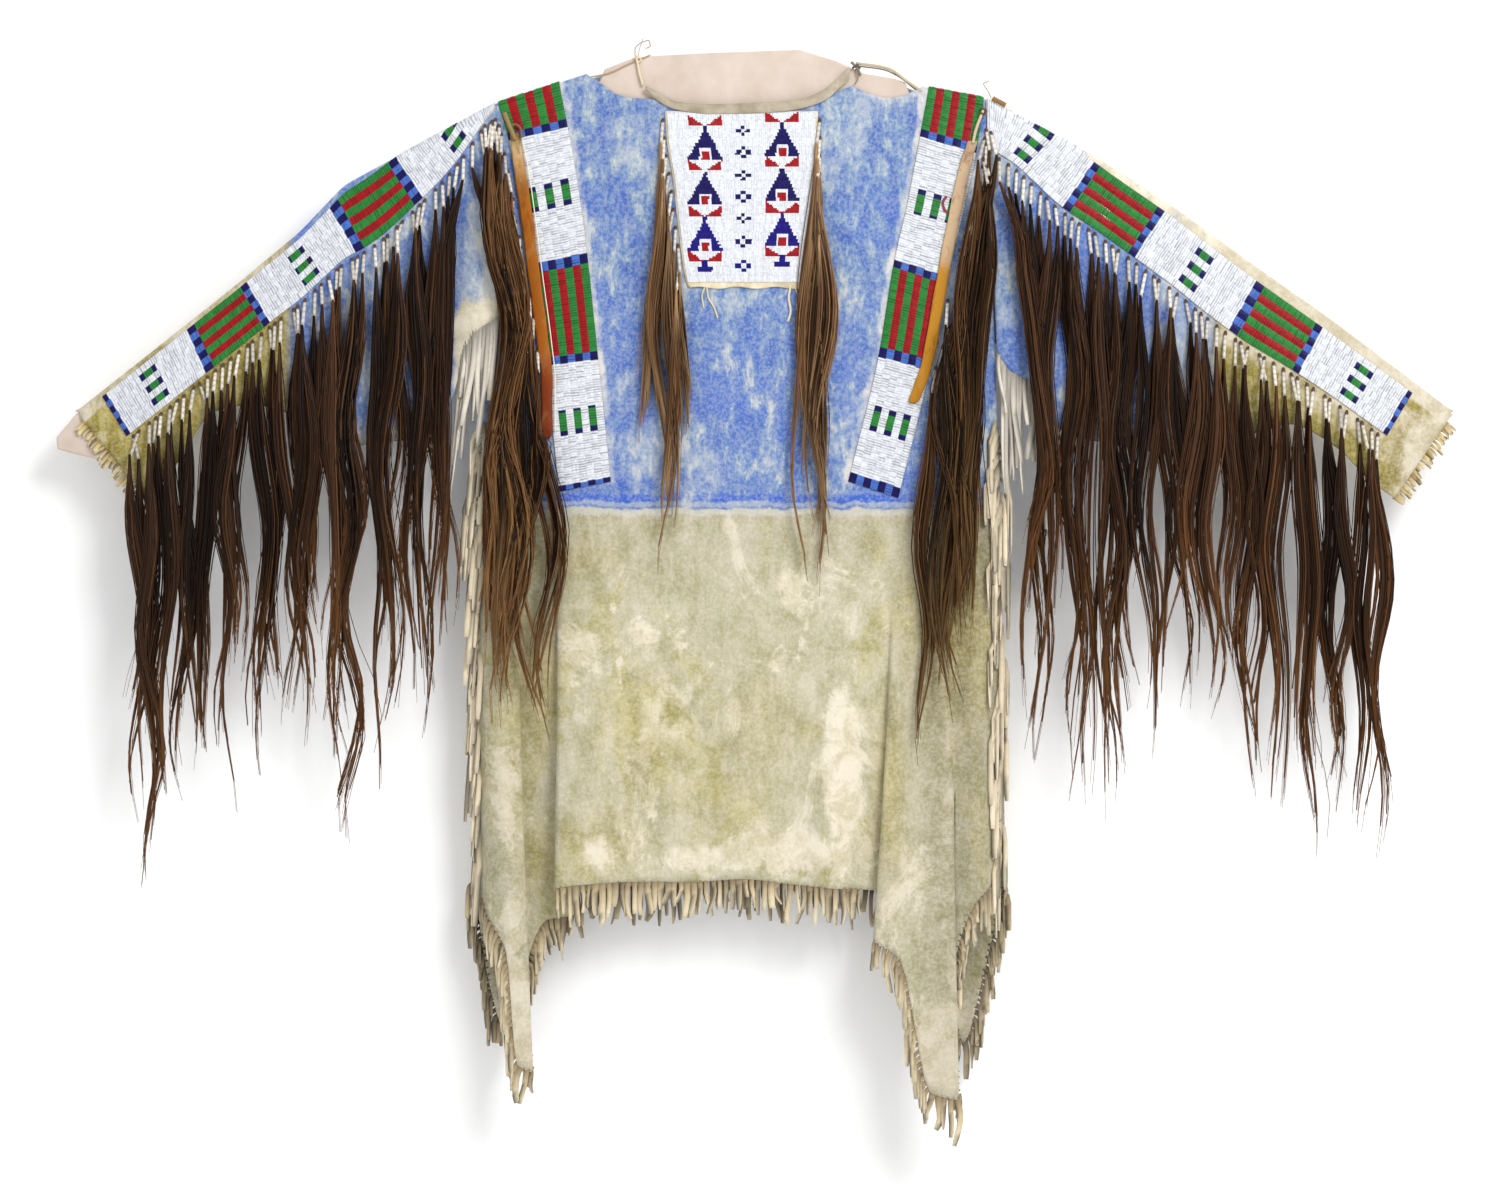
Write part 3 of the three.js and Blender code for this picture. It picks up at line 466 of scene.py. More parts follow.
def shell(grid, thick):
    """A closed wall round a grid of middle points."""
    high, wide = grid.shape[:2]
    normal = unit(np.cross(np.gradient(grid, axis=0), np.gradient(grid, axis=1)))
    step = normal * thick / 2
    points = np.concatenate([(grid + step).reshape(-1, 3), (grid - step).reshape(-1, 3)])
    count = high * wide
    left = np.arange(high - 1) * wide
    right = left + wide - 1
    top = np.arange(wide - 1)
    bottom = (high - 1) * wide + top
    quads = np.concatenate([
        grid_quads(high, wide),
        grid_quads(high, wide, count)[:, ::-1],
        np.stack([left, left + count, left + count + wide, left + wide], 1),
        np.stack([right + wide, right + count + wide, right + count, right], 1),
        np.stack([top + 1, top + count + 1, top + count, top], 1),
        np.stack([bottom, bottom + count, bottom + count + 1, bottom + 1], 1),
    ])
    return points, outward(points, [quads])


def ring_faces(n, k, sides):
    """The faces of n closed tubes of k rings, with many-sided ends."""
    start = np.arange(n)[:, None] * k * sides
    ring = np.arange(k - 1)[None, :, None] * sides
    a = np.arange(sides)
    low = start[..., None] + ring + a
    beside_low = start[..., None] + ring + (a + 1) % sides
    quads = np.stack([low, beside_low, beside_low + sides, low + sides], -1).reshape(-1, 4)
    return [quads, np.concatenate([start + a[::-1], start + (k - 1) * sides + a])]


def tubes(paths, radii, sides, flatten=1.0):
    """Closed tubes along (n, k, 3) paths. Each has rings that lie level."""
    angle = 2 * math.pi * (np.arange(sides) + 0.5) / sides
    ring = np.stack([np.cos(angle), flatten * np.sin(angle), np.zeros(sides)], 1)
    points = paths[:, :, None, :] + ring[None, None] * radii[:, :, None, None]
    return points.reshape(-1, 3), ring_faces(*paths.shape[:2], sides)


def ribbons(paths, sides, widths, thick):
    """Closed flat strips along (n, k, 3) paths, with the way across given."""
    across = sides * (widths / 2)[..., None]
    deep = unit(np.cross(np.gradient(paths, axis=1), sides)) * thick / 2
    points = np.stack([paths - across - deep, paths + across - deep,
                       paths + across + deep, paths - across + deep], 2)
    return points.reshape(-1, 3), ring_faces(*paths.shape[:2], 4)


def joined(parts):
    """Several (points, faces) as one, with the faces kept by their size."""
    points, by_size, start = [], {}, 0
    for part_points, groups in parts:
        points.append(part_points)
        for group in groups:
            by_size.setdefault(group.shape[1], []).append(group + start)
        start += len(part_points)
    return np.concatenate(points), [np.concatenate(groups) for groups in by_size.values()]


# Materials


class Wire:
    """One value in a material's tree, which takes the signs +, - and *."""

    def __init__(self, look, socket):
        self.look = look
        self.socket = socket

    def __add__(self, other):
        return self.look.maths("ADD", self, other)

    def __sub__(self, other):
        return self.look.maths("SUBTRACT", self, other)

    def __rsub__(self, other):
        return self.look.maths("SUBTRACT", other, self)

    def __mul__(self, other):
        return self.look.maths("MULTIPLY", self, other)

    def between(self, low, high, kind="SMOOTHSTEP"):
        """0 at low and 1 at high."""
        values = {"Value": self, "From Min": low, "From Max": high}
        return self.look.wire("ShaderNodeMapRange", values, interpolation_type=kind)

    def ramp(self, *stops):
        """A colour for the value, from stops of a place and its colour."""
        node = self.look.node("ShaderNodeValToRGB", {"Fac": self})
        elements = node.color_ramp.elements
        while len(elements) < len(stops):
            elements.new(0.5)
        for element, (position, colour) in zip(elements, stops):
            element.position = position
            element.color = (*linear(colour), 1)
        return Wire(self.look, node.outputs[0])


class Look:
    """A procedural material. Its nodes are given their values by name or number."""

    def __init__(self, name, roughness, sheen=0.0, shine=0.5):
        self.material = bpy.data.materials.new(name)
        self.material.use_nodes = True
        self.tree = self.material.node_tree
        self.shader = self.tree.nodes["Principled BSDF"]
        self.give(self.shader, {"Roughness": roughness, "Sheen Weight": sheen,
                                "Specular IOR Level": shine})

    def give(self, node, values):
        for name, value in values.items():
            if isinstance(value, Wire):
                self.tree.links.new(value.socket, node.inputs[name])
            elif isinstance(value, str):
                node.inputs[name].default_value = (*linear(value), 1)
            elif value is not None:
                node.inputs[name].default_value = value

    def node(self, kind, values, **settings):
        made = self.tree.nodes.new(kind)
        for name, value in settings.items():
            setattr(made, name, value)
        self.give(made, values)
        return made

    def wire(self, kind, values, out=0, **settings):
        return Wire(self, self.node(kind, values, **settings).outputs[out])

    def maths(self, operation, *values):
        return self.wire("ShaderNodeMath", dict(enumerate(values)), operation=operation)

    def place(self, stretch=None):
        where = self.wire("ShaderNodeTexCoord", {}, "Object")
        if stretch is None:
            return where
        return self.wire("ShaderNodeMapping", {"Vector": where, "Scale": stretch})

    def axis(self, name):
        return self.wire("ShaderNodeSeparateXYZ", {"Vector": self.place()}, name)

    def tone(self):
        """The mesh's own colour."""
        return self.wire("ShaderNodeAttribute", {}, attribute_name="tone")

    def noise(self, scale, detail, rough, distortion=0.0, stretch=None):
        return self.wire("ShaderNodeTexNoise", {
            "Vector": self.place(stretch), "Scale": scale, "Detail": detail,
            "Roughness": rough, "Distortion": distortion})

    def blend(self, amount, a, b, mode="MIX"):
        values = {0: amount, 6: a, 7: b}
        return self.wire("ShaderNodeMix", values, 2, data_type="RGBA", blend_type=mode)

    def done(self, colour, *bumps):
        """The material, with bumps of a height, a strength and a distance each."""
        normal = None
        for height, strength, distance in bumps:
            normal = self.wire("ShaderNodeBump", {
                "Height": height, "Strength": strength, "Distance": distance, "Normal": normal})
        self.give(self.shader, {"Base Color": colour, "Normal": normal})
        return self.material


def blue_paint(look, brushed, patches, height, away):
    """Brushed blue, deeper low on the body and on the sleeves, and paler in patches."""
    blue = brushed.ramp((0.43, "#2553ab"), (0.465, "#3f69ae"), (0.5, "#6484b1"),
                        (0.53, "#879db5"), (0.57, "#bac0c2"))
    low, sleeves = height.between(-0.2, -0.46) * 0.38, away.between(0.27, 0.32) * 0.5
    deep = look.maths("MAXIMUM", low, sleeves) + patches.between(0.48, 0.4) * 0.4
    blue = look.blend(deep * brushed.between(0.6, 0.48), blue, "#3a66bd")
    pale = brushed.ramp((0.43, "#7f96bb"), (0.5, "#a3afc0"), (0.57, "#cccdcb"))
    blue = look.blend(patches.between(0.5, 0.6) * 0.75, blue, pale)
    return look.blend(0.08, blue, "#8f938f")


def olive_paint(look, rubbed, mottle, bare, cream):
    """Rubbed olive with stains of ochre and scrapes down to the hide."""
    clouds = look.noise(10, 12, 0.74, 0.8, (1.2, 1, 0.8))
    stains = look.noise(6, 12, 0.72, 0.6, (1.1, 1, 0.7))
    olive = rubbed.ramp((0.42, "#a29c78"), (0.47, "#afa98a"), (0.53, "#bab399"), (0.6, "#c8c0aa"))
    ochre = mottle.ramp((0.42, "#9b9354"), (0.58, "#bdb589"))
    olive = look.blend(stains.between(0.5, 0.57) * 0.7, olive, ochre)
    return look.blend((clouds + bare * 0.2).between(0.55, 0.62) * 0.85, olive, cream)


def waist_line(look, colour, edge, body_part, cloudy):
    """A pale gap at the paint's edge, a dark stroke above it and a light line below it."""
    gap = edge.between(-0.501, -0.499) * edge.between(-0.494, -0.496)
    colour = look.blend(gap * body_part * 0.55, colour, "#a9b4c4")
    stroke = edge.between(-0.495, -0.493) * edge.between(-0.4855, -0.4885) * cloudy.between(0.6, 0.44)
    colour = look.blend(stroke * body_part, colour, "#2f5cbc")
    line = edge.between(-0.512, -0.508) * edge.between(-0.5, -0.505)
    return look.blend(line * 0.7, colour, "#c9c9c2")


def painted_hide():
    """Smoked hide rubbed with blue above the waist and olive below it. The tone's red
    is bare hide, its green is the yellow of the cuffs and its blue is painted shade and grime."""
    look = Look("painted_hide", 0.88, 0.25)
    patches = look.noise(7, 9, 0.68, 0.4)
    mottle = look.noise(30, 9, 0.72, 0.3)
    fine = look.noise(260, 6, 0.7)
    down = look.noise(26, 8, 0.74, 0.0, (1.7, 1, 0.6))
    strokes = look.noise(60, 8, 0.7, 0.5, (1.5, 1, 0.75))
    cloudy = look.noise(15, 8, 0.68, 0.3, (1.25, 1, 0.8))
    rubbed = mottle * 0.5 + down * 0.5
    brushed = strokes * 0.38 + down * 0.27 + cloudy * 0.35
    height = look.axis("Z")
    away = look.maths("ABSOLUTE", look.axis("X"))
    tone = look.tone()
    bare, cuff, painted_shade_and_grime = (look.wire("ShaderNodeSeparateColor", {"Color": tone}, i) for i in range(3))

    cream = mottle.ramp((0.42, "#c8bda0"), (0.56, "#e0d7c2"))
    chalk = mottle.ramp((0.42, "#a5abbb"), (0.58, "#cfcdc8"))
    yellow = rubbed.ramp((0.43, "#887810"), (0.49, "#a0902c"), (0.55, "#bbac66"))
    blue = blue_paint(look, brushed, patches, height, away)
    olive = olive_paint(look, rubbed, mottle, bare, cream)
    edge = height + (mottle - 0.5) * 0.02
    upper = edge.between(-0.5045, -0.5015)
    body_part = 1.0 - away.between(0.25, 0.27)
    colour = waist_line(look, look.blend(upper, olive, blue), edge, body_part, cloudy)
    colour = look.blend(cuff, colour, yellow)
    worn = (bare + (rubbed - 0.5) * 1.6).between(0.3, 0.75) * bare.between(0.0, 0.15)
    colour = look.blend(worn, colour, look.blend(upper * body_part, cream, chalk))
    # Painted shade, with some grime: the tone's blue channel multiplies the hide towards a darker olive
    colour = look.blend(painted_shade_and_grime * 0.75, colour, "#8a7f5c", "MULTIPLY")
    colour = look.blend(fine.between(0.42, 0.6) * 0.16, colour, "#f4efe0")
    pores = look.wire("ShaderNodeTexVoronoi", {"Vector": look.place(), "Scale": 420.0},
                      "Distance", feature="DISTANCE_TO_EDGE")
    return look.done(colour, (pores, 0.12, 0.0004), (look.noise(60, 6, 0.62), 0.35, 0.0022),
                     (fine, 0.3, 0.0006))


def toned(name, roughness, sheen=0.0, shine=0.5, scale=300.0, spread=0.12, strength=0.3, deep=0.0006):
    """A material whose colour is the mesh's own, with fine mottling and a fine grain."""
    look = Look(name, roughness, sheen, shine)
    grain = look.noise(scale, 5, 0.65)
    shade = grain * (2 * spread) + (1 - spread)
    return look.done(look.blend(1.0, look.tone(), shade, "MULTIPLY"), (grain, strength, deep))


def hair_material():
    look = Look("hair", 0.5, shine=0.14)
    shade = look.noise(900, 3, 0.6, 0.0, (1, 1, 0.04)) * 0.5 + 0.75
    return look.done(look.blend(1.0, look.tone(), shade, "MULTIPLY"))


def board_cloth():
    look = Look("board_cloth", 0.92, 0.2)
    threads = [look.wire("ShaderNodeTexWave", {
        "Vector": look.place(), "Scale": 260.0, "Distortion": 1.2, "Detail": 1.0,
    }, "Fac", bands_direction=way) for way in "XZ"]
    weave = threads[0] * threads[1]
    colour = look.noise(22, 5, 0.6).ramp((0.35, "#c9b8aa"), (0.5, "#d1c1b3"), (0.66, "#d8cabd"))
    return look.done(look.blend(weave * 0.35, colour, "#ae9a8b"), (weave, 0.3, 0.0003))


def strap_leather(name, top, foot, *stops):
    """Dyed hide whose colour changes from its top to its foot, with stains."""
    look = Look(name, 0.6, shine=0.2)
    stain = look.noise(60, 8, 0.7, 0.5, (1, 1, 0.4))
    height = look.axis("Z") + (stain - 0.5) * 0.12
    colour = height.between(top, foot, "LINEAR").ramp(*stops)
    colour = look.blend(stain.between(0.53, 0.62) * 0.45, colour, "#9a6428", "MULTIPLY")
    colour = look.blend(stain.between(0.47, 0.4) * 0.15, colour, "#c9a064")
    return look.done(colour, (look.noise(320, 5, 0.6), 0.35, 0.0005))


def plain_hide(name, roughness, scale, grain, strength, *stops):
    """Hide in a few near shades."""
    look = Look(name, roughness, 0.2)
    colour = look.noise(scale, 6, 0.65).ramp(*stops)
    return look.done(colour, (look.noise(grain, 5, 0.6), strength, 0.0005))


# Hide panels

ON_ROUND = np.linspace(0, QUARTER, 7)
SEAM = SHOULDER_SEAM / 2
BACK_SHORTER = 12.0
FLAP_LIFT = 5.0
FLAP_REACH = 318


def finer(table, per_row):
    """A table's columns with more rows between, each as an upright array."""
    count = length_of(table)
    row = row_at(table, np.linspace(0, count, count * per_row + 1))
    return [column[:, None] for column in row.values()]


def top_along(x, side):
    neck = (x > NECK_FRONT["x"][0]) & (x < NECK_FRONT["x"][-1])
    if side < 0:
        return np.where(neck, QUARTER + 1, SEAM)
    edge = along_for(ridge_z(x) - np.interp(x, NECK_FRONT["x"], NECK_FRONT["z"]))
    return np.where(neck, np.maximum(edge, SEAM), SEAM)


def body_grid(table, side, per_guide, upper, lower):
    top_x, waist_x, hem_x, hem_z, hem_y = finer(table, per_guide)
    start = top_along(top_x, side)
    waist_along = along_for(ridge_z(top_x) - WAIST)
    on_round = start + ON_ROUND[None] * (QUARTER - SEAM) / QUARTER
    on_flat = mix(start + QUARTER, waist_along, np.linspace(0, 1, upper + 1)[None, 1:])
    along = np.concatenate([on_round, on_flat], 1)
    x = mix(top_x, waist_x, np.clip((along - start) / (waist_along - start), 0, 1))
    z = ridge_z(top_x) - (along - QUARTER + FOLD)
    near = (along < QUARTER)[..., None]
    high = np.where(near, on_hide(x, side * along), on_hide_at(x, z, 0, side))
    t = np.linspace(0, 1, lower + 1)[None, 1:]
    low_x, low_z = mix(waist_x, hem_x, t), mix(WAIST, hem_z, t)
    hem_side = -side * relief(low_x, low_z, np.full(low_x.shape, side))
    low_y = mix(high[:, -1:, 1], hem_y + hem_side, smooth(t ** 0.8))
    return np.concatenate([high, np.stack([low_x, low_y, low_z], -1)], 1)


def sleeve_grid(table, per_section, down):
    top_x, low_x, low_z = finer(table, per_section)
    length = along_for(ridge_z(top_x) - low_z)
    t = np.linspace(0, 1, down + 1)[None, 1:]
    on_round = np.broadcast_to(ON_ROUND[1:], (len(top_x), len(ON_ROUND) - 1))
    front, behind = (np.concatenate([on_round, mix(QUARTER, length - less, t)], 1)
                     for less in (0, BACK_SHORTER))
    along = np.concatenate([-behind[:, ::-1], np.zeros_like(top_x), front], 1)
    share = np.abs(along) / length
    x = mix(top_x, low_x, share)
    z = np.minimum(mix(ridge_z(top_x), low_z, share), ridge_z(x) - FOLD)
    near = (np.abs(along) < QUARTER)[..., None]
    side = np.where(along < 0, -1, 1)
    lift = FLAP_LIFT * smooth((FLAP_REACH - np.abs(x)) / 30) * smooth((-z - 110) / 90)
    return np.where(near, on_hide(x, along), on_hide(x, side * along_for(ridge_z(x) - z), lift))


def strip_inner_x(z, table):
    return np.interp(z, table["innerZ"][::-1], table["innerX"][::-1])


def spots_at(table, x, z):
    total = np.zeros_like(x)
    for x_mid, z_mid, wide, high, much in zip(*table.values()):
        spot = np.exp(-(((x - x_mid) / wide) ** 2 + ((z - z_mid) / high) ** 2))
        total = np.maximum(total, much * spot)
    return total


def body_tone(grid):
    """Bare hide beside the strips, at the neck and at the tails, and painted shade in the valleys down the
    sides of the lower body.
    """
    x, z = grid[..., 0], grid[..., 2]
    yoke = smooth((z + 500) / 6)
    low = 1 - yoke
    left = x - strip_inner_x(z, STRIP_BODY_LEFT)
    right = strip_inner_x(z, STRIP_BODY_RIGHT) - x
    near = smooth((12 - left) / 8) * (left > -8) + smooth((12 - right) / 8) * (right > -8)
    near = near * smooth((z + 482) / 8)
    # Near the neck the hide is bare towards the right; on the left a quarter of it is painted pale grey as
    # a fold's shade
    top = smooth((z + 80) / 40) * yoke * np.where(x > 0, smooth((x - 110) / 40), 0.25)
    tails = smooth((-z - 960) / 120) * np.where(x < 0, 0.75, 0.5)
    spots = spots_at(WORN_SPOTS, x, z) * low
    bare = np.clip(0.6 * near * yoke + 0.6 * top + tails + spots, 0, 1)
    # Painted shade: darker down both sides of the lower body, just below the waist and on its right side
    painted_shade_and_grime = smooth((np.abs(x + 5) - 185) / 30) * low
    painted_shade_and_grime = painted_shade_and_grime + 0.6 * smooth((z + 620) / 90) * low + smooth((x - 150) / 30) * low * 0.7
    return np.stack([bare, spots_at(OCHRE_SPOTS, x, z) * low, 0.3 * painted_shade_and_grime], -1)


def sleeve_tone(grid, cuff_from, inner_from, pale_from, rubbed_rim, rubbed_cuff):
    """Yellow cuffs, with bare hide at the rim, at the ends and beside the body."""
    x, z = np.abs(grid[..., 0]), grid[..., 2]
    below = ridge_z(grid[..., 0]) - z
    cuff = smooth((x - cuff_from) / 16)
    near_strip = 0.7 * smooth((125 - below) / 30) * smooth((below - 20) / 20) * cuff
    low_edge = smooth((-z - 392) / 30) * 0.55 * (1 - cuff)
    inner = 1.3 * smooth((inner_from - x) / 24) * smooth((pale_from - z) / 80)
    rim = smooth(below / -9 + 2.6) * np.where(cuff > 0.5, 0.52, rubbed_rim)
    end = np.linspace(0, 1, grid.shape[0])[:, None]
    end = 0.24 * smooth((end - 0.92) / 0.08) + rubbed_cuff * cuff
    bare = np.clip(inner + rim + end + 0.3 * near_strip + low_edge, 0, 1)
    # The third channel darkens the cuffs a little, as painted shade and grime
    return np.stack([bare, cuff, 0.3 * cuff], -1)


def panels(hide):
    """The four hides. Each row also lists the width and length of its flat cut in metres."""
    grids = {
        "body_front": body_grid(FRONT, 1, PER_GUIDE, 60, 56),
        "body_back": body_grid(BACK, -1, 6, 44, 40),
        "sleeve_left": sleeve_grid(SLEEVE_LEFT, 6, 36),
        "sleeve_right": sleeve_grid(SLEEVE_RIGHT, 6, 36),
    }
    for name, tone, wide, long in (
        ("body_front", body_tone(grids["body_front"]), 0.60, 1.13),
        ("body_back", body_tone(grids["body_back"]), 0.62, 1.08),
        ("sleeve_left", sleeve_tone(grids["sleeve_left"], 492, 330, -235, 0.22, 0.02), 0.56, 0.80),
        ("sleeve_right", sleeve_tone(grids["sleeve_right"], 508, 345, -340, 0.7, 0.36), 0.60, 0.80),
    ):
        tones = np.tile(tone.reshape(-1, 3), (2, 1))
        piece = add_mesh(name, *shell(grids[name], HIDE), hide, tones)
        dress(piece, "painted_hide", name)
    return grids


# Beadwork

BEAD_COLOURS = {name: linear(value) for name, value in COLOURS.items()}

# How uneven the beads, their shades and their rows are, and the shade painted into the gaps between the
# rows
BEAD_UNEVEN = 0.25
BEAD_SHADES = 0.07
ROW_WANDER = 0.2
PAINTED_GAP_SHADE = 0.3
PAINTED_GAP_SPREAD = 0.55

# The bib and its backing
BIB_EDGE = 6.0
BIB_SIDE = 2.0
BIB_LANE = 5
BIB_WIDE = 150
BACKING_THICK = 0.7
BACKING_OUT = TOP_OF_HIDE + 0.35 + 0.4
RIPPLE_FROM = 0.972


def strip_names(ways, fields):
    """The colour name of each bead of a strip, a row for each way along it."""
    lane = np.arange(LANES * BEADS_ACROSS_LANE) // BEADS_ACROSS_LANE
    even = lane % 2 == 0
    names = np.full((len(ways), len(lane)), "white", object)
    for kind, first, last in fields:
        inside = (ways >= first) & (ways < last)
        if kind == "stripes":
            names[inside] = np.where(even, "green", "red")
        elif kind == "checks":
            names[inside] = np.where(even, "navy", "light")
        else:
            ends = (ways < first + BAR_END) | (ways >= last - BAR_END)
            names[np.ix_(inside & ends, ~even)] = "navy"
            names[np.ix_(inside & ~ends, ~even)] = "green"
    return names


def twice(values):
    """Each bead's value for both halves of its row and of its column."""
    return np.repeat(np.repeat(values, 2, 0), 2, 1)


def bead_strip_faces(high, wide):
    """The top of a strip of (high, wide) points, then its long sides, its back and its ends.
    The back has two points to a row, numbered after those of the top."""
    k = np.arange(high - 1)
    left, right = k * wide, k * wide + wide - 1
    low_left = high * wide + 2 * k
    low_right = low_left + 1
    quads = [
        grid_quads(high, wide),
        np.stack([left, low_left, low_left + 2, left + wide], 1),
        np.stack([right + wide, low_right + 2, low_right, right], 1),
        np.stack([low_left, low_right, low_right + 2, low_left + 2], 1),
    ]
    foot = high * wide + 2 * (high - 1)
    first = [*range(wide), high * wide + 1, high * wide]
    last = [*range(high * wide - 1, (high - 1) * wide - 1, -1), foot, foot + 1]
    return [np.concatenate(quads), np.array([first, last])]


def bead_tones(rng, names, rise, hump, lane_of, soft):
    """A colour for each corner of the top's faces, with shade painted into the grooves between beads and
    lanes.
    """
    colour = twice(np.array([[BEAD_COLOURS[name] for name in row] for row in names]))
    colour = colour * twice(1 + BEAD_SHADES * rng.standard_normal((*names.shape, 1)))
    # Painted shade: corners in the grooves between rows, between beads and at the lane edges are darkened
    gap = (PAINTED_GAP_SHADE + PAINTED_GAP_SPREAD * rng.random((len(rise), lane_of[-1] + 2)))[:, lane_of]
    painted_groove_shade = np.where(rise > 0.9, 1.0, np.where(rise > 0.5, 0.94, mix(gap, 1.0, soft)))
    painted_groove_shade = painted_groove_shade * np.where(hump < 0.01, 0.93, 1.0)
    corners = np.stack([painted_groove_shade[:-1, :-1], painted_groove_shade[1:, :-1], painted_groove_shade[1:, 1:], painted_groove_shade[:-1, 1:]], -1)
    return colour[:, :, None, :] * corners[..., None]


def bead_mesh(points_at, lane_beads, names, seed, soft=0.0):
    """Beads in relief over a strip: points_at(a, b, out) gives its surface, with a across
    and b along. The names are one colour for each bead, a row for each row of beads."""
    along, across = names.shape
    high, wide = 2 * along + 1, 2 * across + 1
    lanes = across // lane_beads
    b, a = np.linspace(0, 1, high)[:, None], np.linspace(0, 1, wide)[None]
    i, j = np.arange(high)[:, None] % 2, np.arange(wide)[None] % 2
    rise = np.where(i & j, 1.0, np.where(i == 1, 0.6, np.where(j == 1, 0.2, 0.05)))
    hump = 1 - (2 * ((np.arange(wide)[None] / 2 / lane_beads) % 1.0) - 1) ** 2
    rng = np.random.default_rng(seed)
    uneven = 1 + BEAD_UNEVEN * rng.standard_normal((high, wide))
    out = BEAD_BASE + BEAD_LOW + BEAD_RISE * rise * np.clip(uneven, 0.4, 1.3) + LANE_RISE * hump
    lane_of = np.minimum(np.arange(wide) // (2 * lane_beads), lanes - 1)
    wander = np.cumsum(rng.standard_normal((high, lanes + 1)), 0)
    wander = ROW_WANDER * np.sin(0.4 * wander + rng.uniform(0, 6, wander.shape[1])) / along
    b = b + wander[:, lane_of] * np.clip(2.5 * np.minimum(b, 1 - b) * along / 4, 0, 1)
    top = points_at(a, b, out)
    sides = points_at(np.array([[0.0, 1.0]]), b[:, [0, -1]], np.full((high, 2), BEAD_BASE))
    points = np.concatenate([top.reshape(-1, 3), sides.reshape(-1, 3)])
    faces = bead_strip_faces(high, wide)
    on_top = bead_tones(rng, names, rise, hump, lane_of, soft)
    if volume_of(points, faces) < 0:
        faces = [group[:, ::-1] for group in faces]
        on_top = on_top[:, :, ::-1]
    on_top = on_top.reshape(-1, 3)
    rest = sum(group.size for group in faces) - len(on_top)
    return points, faces, np.concatenate([on_top, np.tile(BEAD_COLOURS["fringe"], (rest, 1))])


def strip(name, at_place, places, fields, soft, material, seed):
    """A beaded strip. at_place(a, place, out) gives its surface, with a across it and
    a place of 0 at the shoulder."""
    ways = ways_along(at_place(np.array([0.5]), places[:, None], 0.0)[:, 0])
    length = ways[-1]

    def points_at(a, b, out):
        return at_place(a, np.interp(b * length, ways, places), out)

    rows_along = int(round(length / ROW))
    row_ways = (np.arange(rows_along) + 0.5) * length / rows_along
    names = strip_names(np.abs(row_ways - np.interp(0, places, ways)), fields)
    points, faces, tones = bead_mesh(points_at, BEADS_ACROSS_LANE, names, seed, soft)
    piece = dress(add_mesh(name, points, faces, material, tones, "CORNER"), "beadwork", name)
    return points_at


def sleeve_strip(side, table, fields, material, seed):
    def at_place(a, place, out):
        row = row_at(table, place)
        return on_hide(mix(row["lowX"], row["highX"], a), mix(row["low"], row["high"], a), out)

    places = np.linspace(0, length_of(table), 400)
    return strip("strip_sleeve_" + side, at_place, places, fields, 0.03,
                 material, seed)


def body_strip(side, table, fields, material, seed):
    def at_place(a, place, out):
        row = row_at(table, np.abs(place))
        x = mix(row["innerX"], row["outerX"], 1 - a)
        z = mix(row["innerZ"], row["outerZ"], 1 - a)
        return on_hide_at(x, z, out, np.where(place < 0, -1.0, 1.0))

    places = np.linspace(-length_of(table), length_of(table), 1200)
    return strip("strip_body_" + side, at_place, places, fields, 0.0,
                 material, seed)


# The bib's figures, counted in beads from the middle and down from the point
TIPI_HALF = 9
TIPI_HIGH = 19.4
WINGS_LOW = 26
TIPIS = ((-43.7, (-83, -133.5, -183.5)), (40.7, (-79, -129, -178)))
CROSS_X = -1.7
CROSSES_Z = (-87.5, -112, -137, -161, -185, -210, -237)


def tipi_name(across, down, last):
    """The colour of one bead of a figure, or nothing where the ground shows."""
    across = abs(across)
    navy = "navy_bright" if last else "navy"
    if 0 <= down < TIPI_HIGH:
        half = 1.1 + 1.1 * max(0, math.floor((down - 3.2) / 2) + 1)
        if across > half:
            return None
        if across < 2.2 and down >= 14.2:
            return "red"
        if across < 3.4 and down >= 12.6:
            return None
        return navy
    wing_high = TIPI_HIGH + (WINGS_LOW - TIPI_HIGH) * (1 - across / (TIPI_HALF + 0.6))
    if TIPI_HIGH <= down < WINGS_LOW and wing_high <= down and across < TIPI_HALF + 0.6:
        return "red"
    if last and WINGS_LOW - 1 <= down < WINGS_LOW + 5.5:
        if across < (1.6 if down < WINGS_LOW + 3 else 4.4):
            return navy
    return None


def bead_at(x, z):
    for middle, apexes in TIPIS:
        across = (x - middle) / BEAD
        if abs(across) > TIPI_HALF + 1:
            continue
        for apex in apexes:
            found = tipi_name(across, (apex - z) / BEAD, apex == apexes[-1])
            if found:
                return found
        above = (apexes[0] - z) / BEAD + WINGS_LOW
        if TIPI_HIGH <= above < WINGS_LOW:
            return tipi_name(across, above, False) or "white"
    for cross_z in CROSSES_Z:
        across, down = abs(x - CROSS_X) / BEAD, abs(z - cross_z) / BEAD
        if (across < 1.2 and 1.2 <= down < 3.2) or (1.3 <= across < 4.5 and down < 1.2):
            return "navy_bright" if cross_z == CROSSES_Z[-1] else "navy"
    return "white"


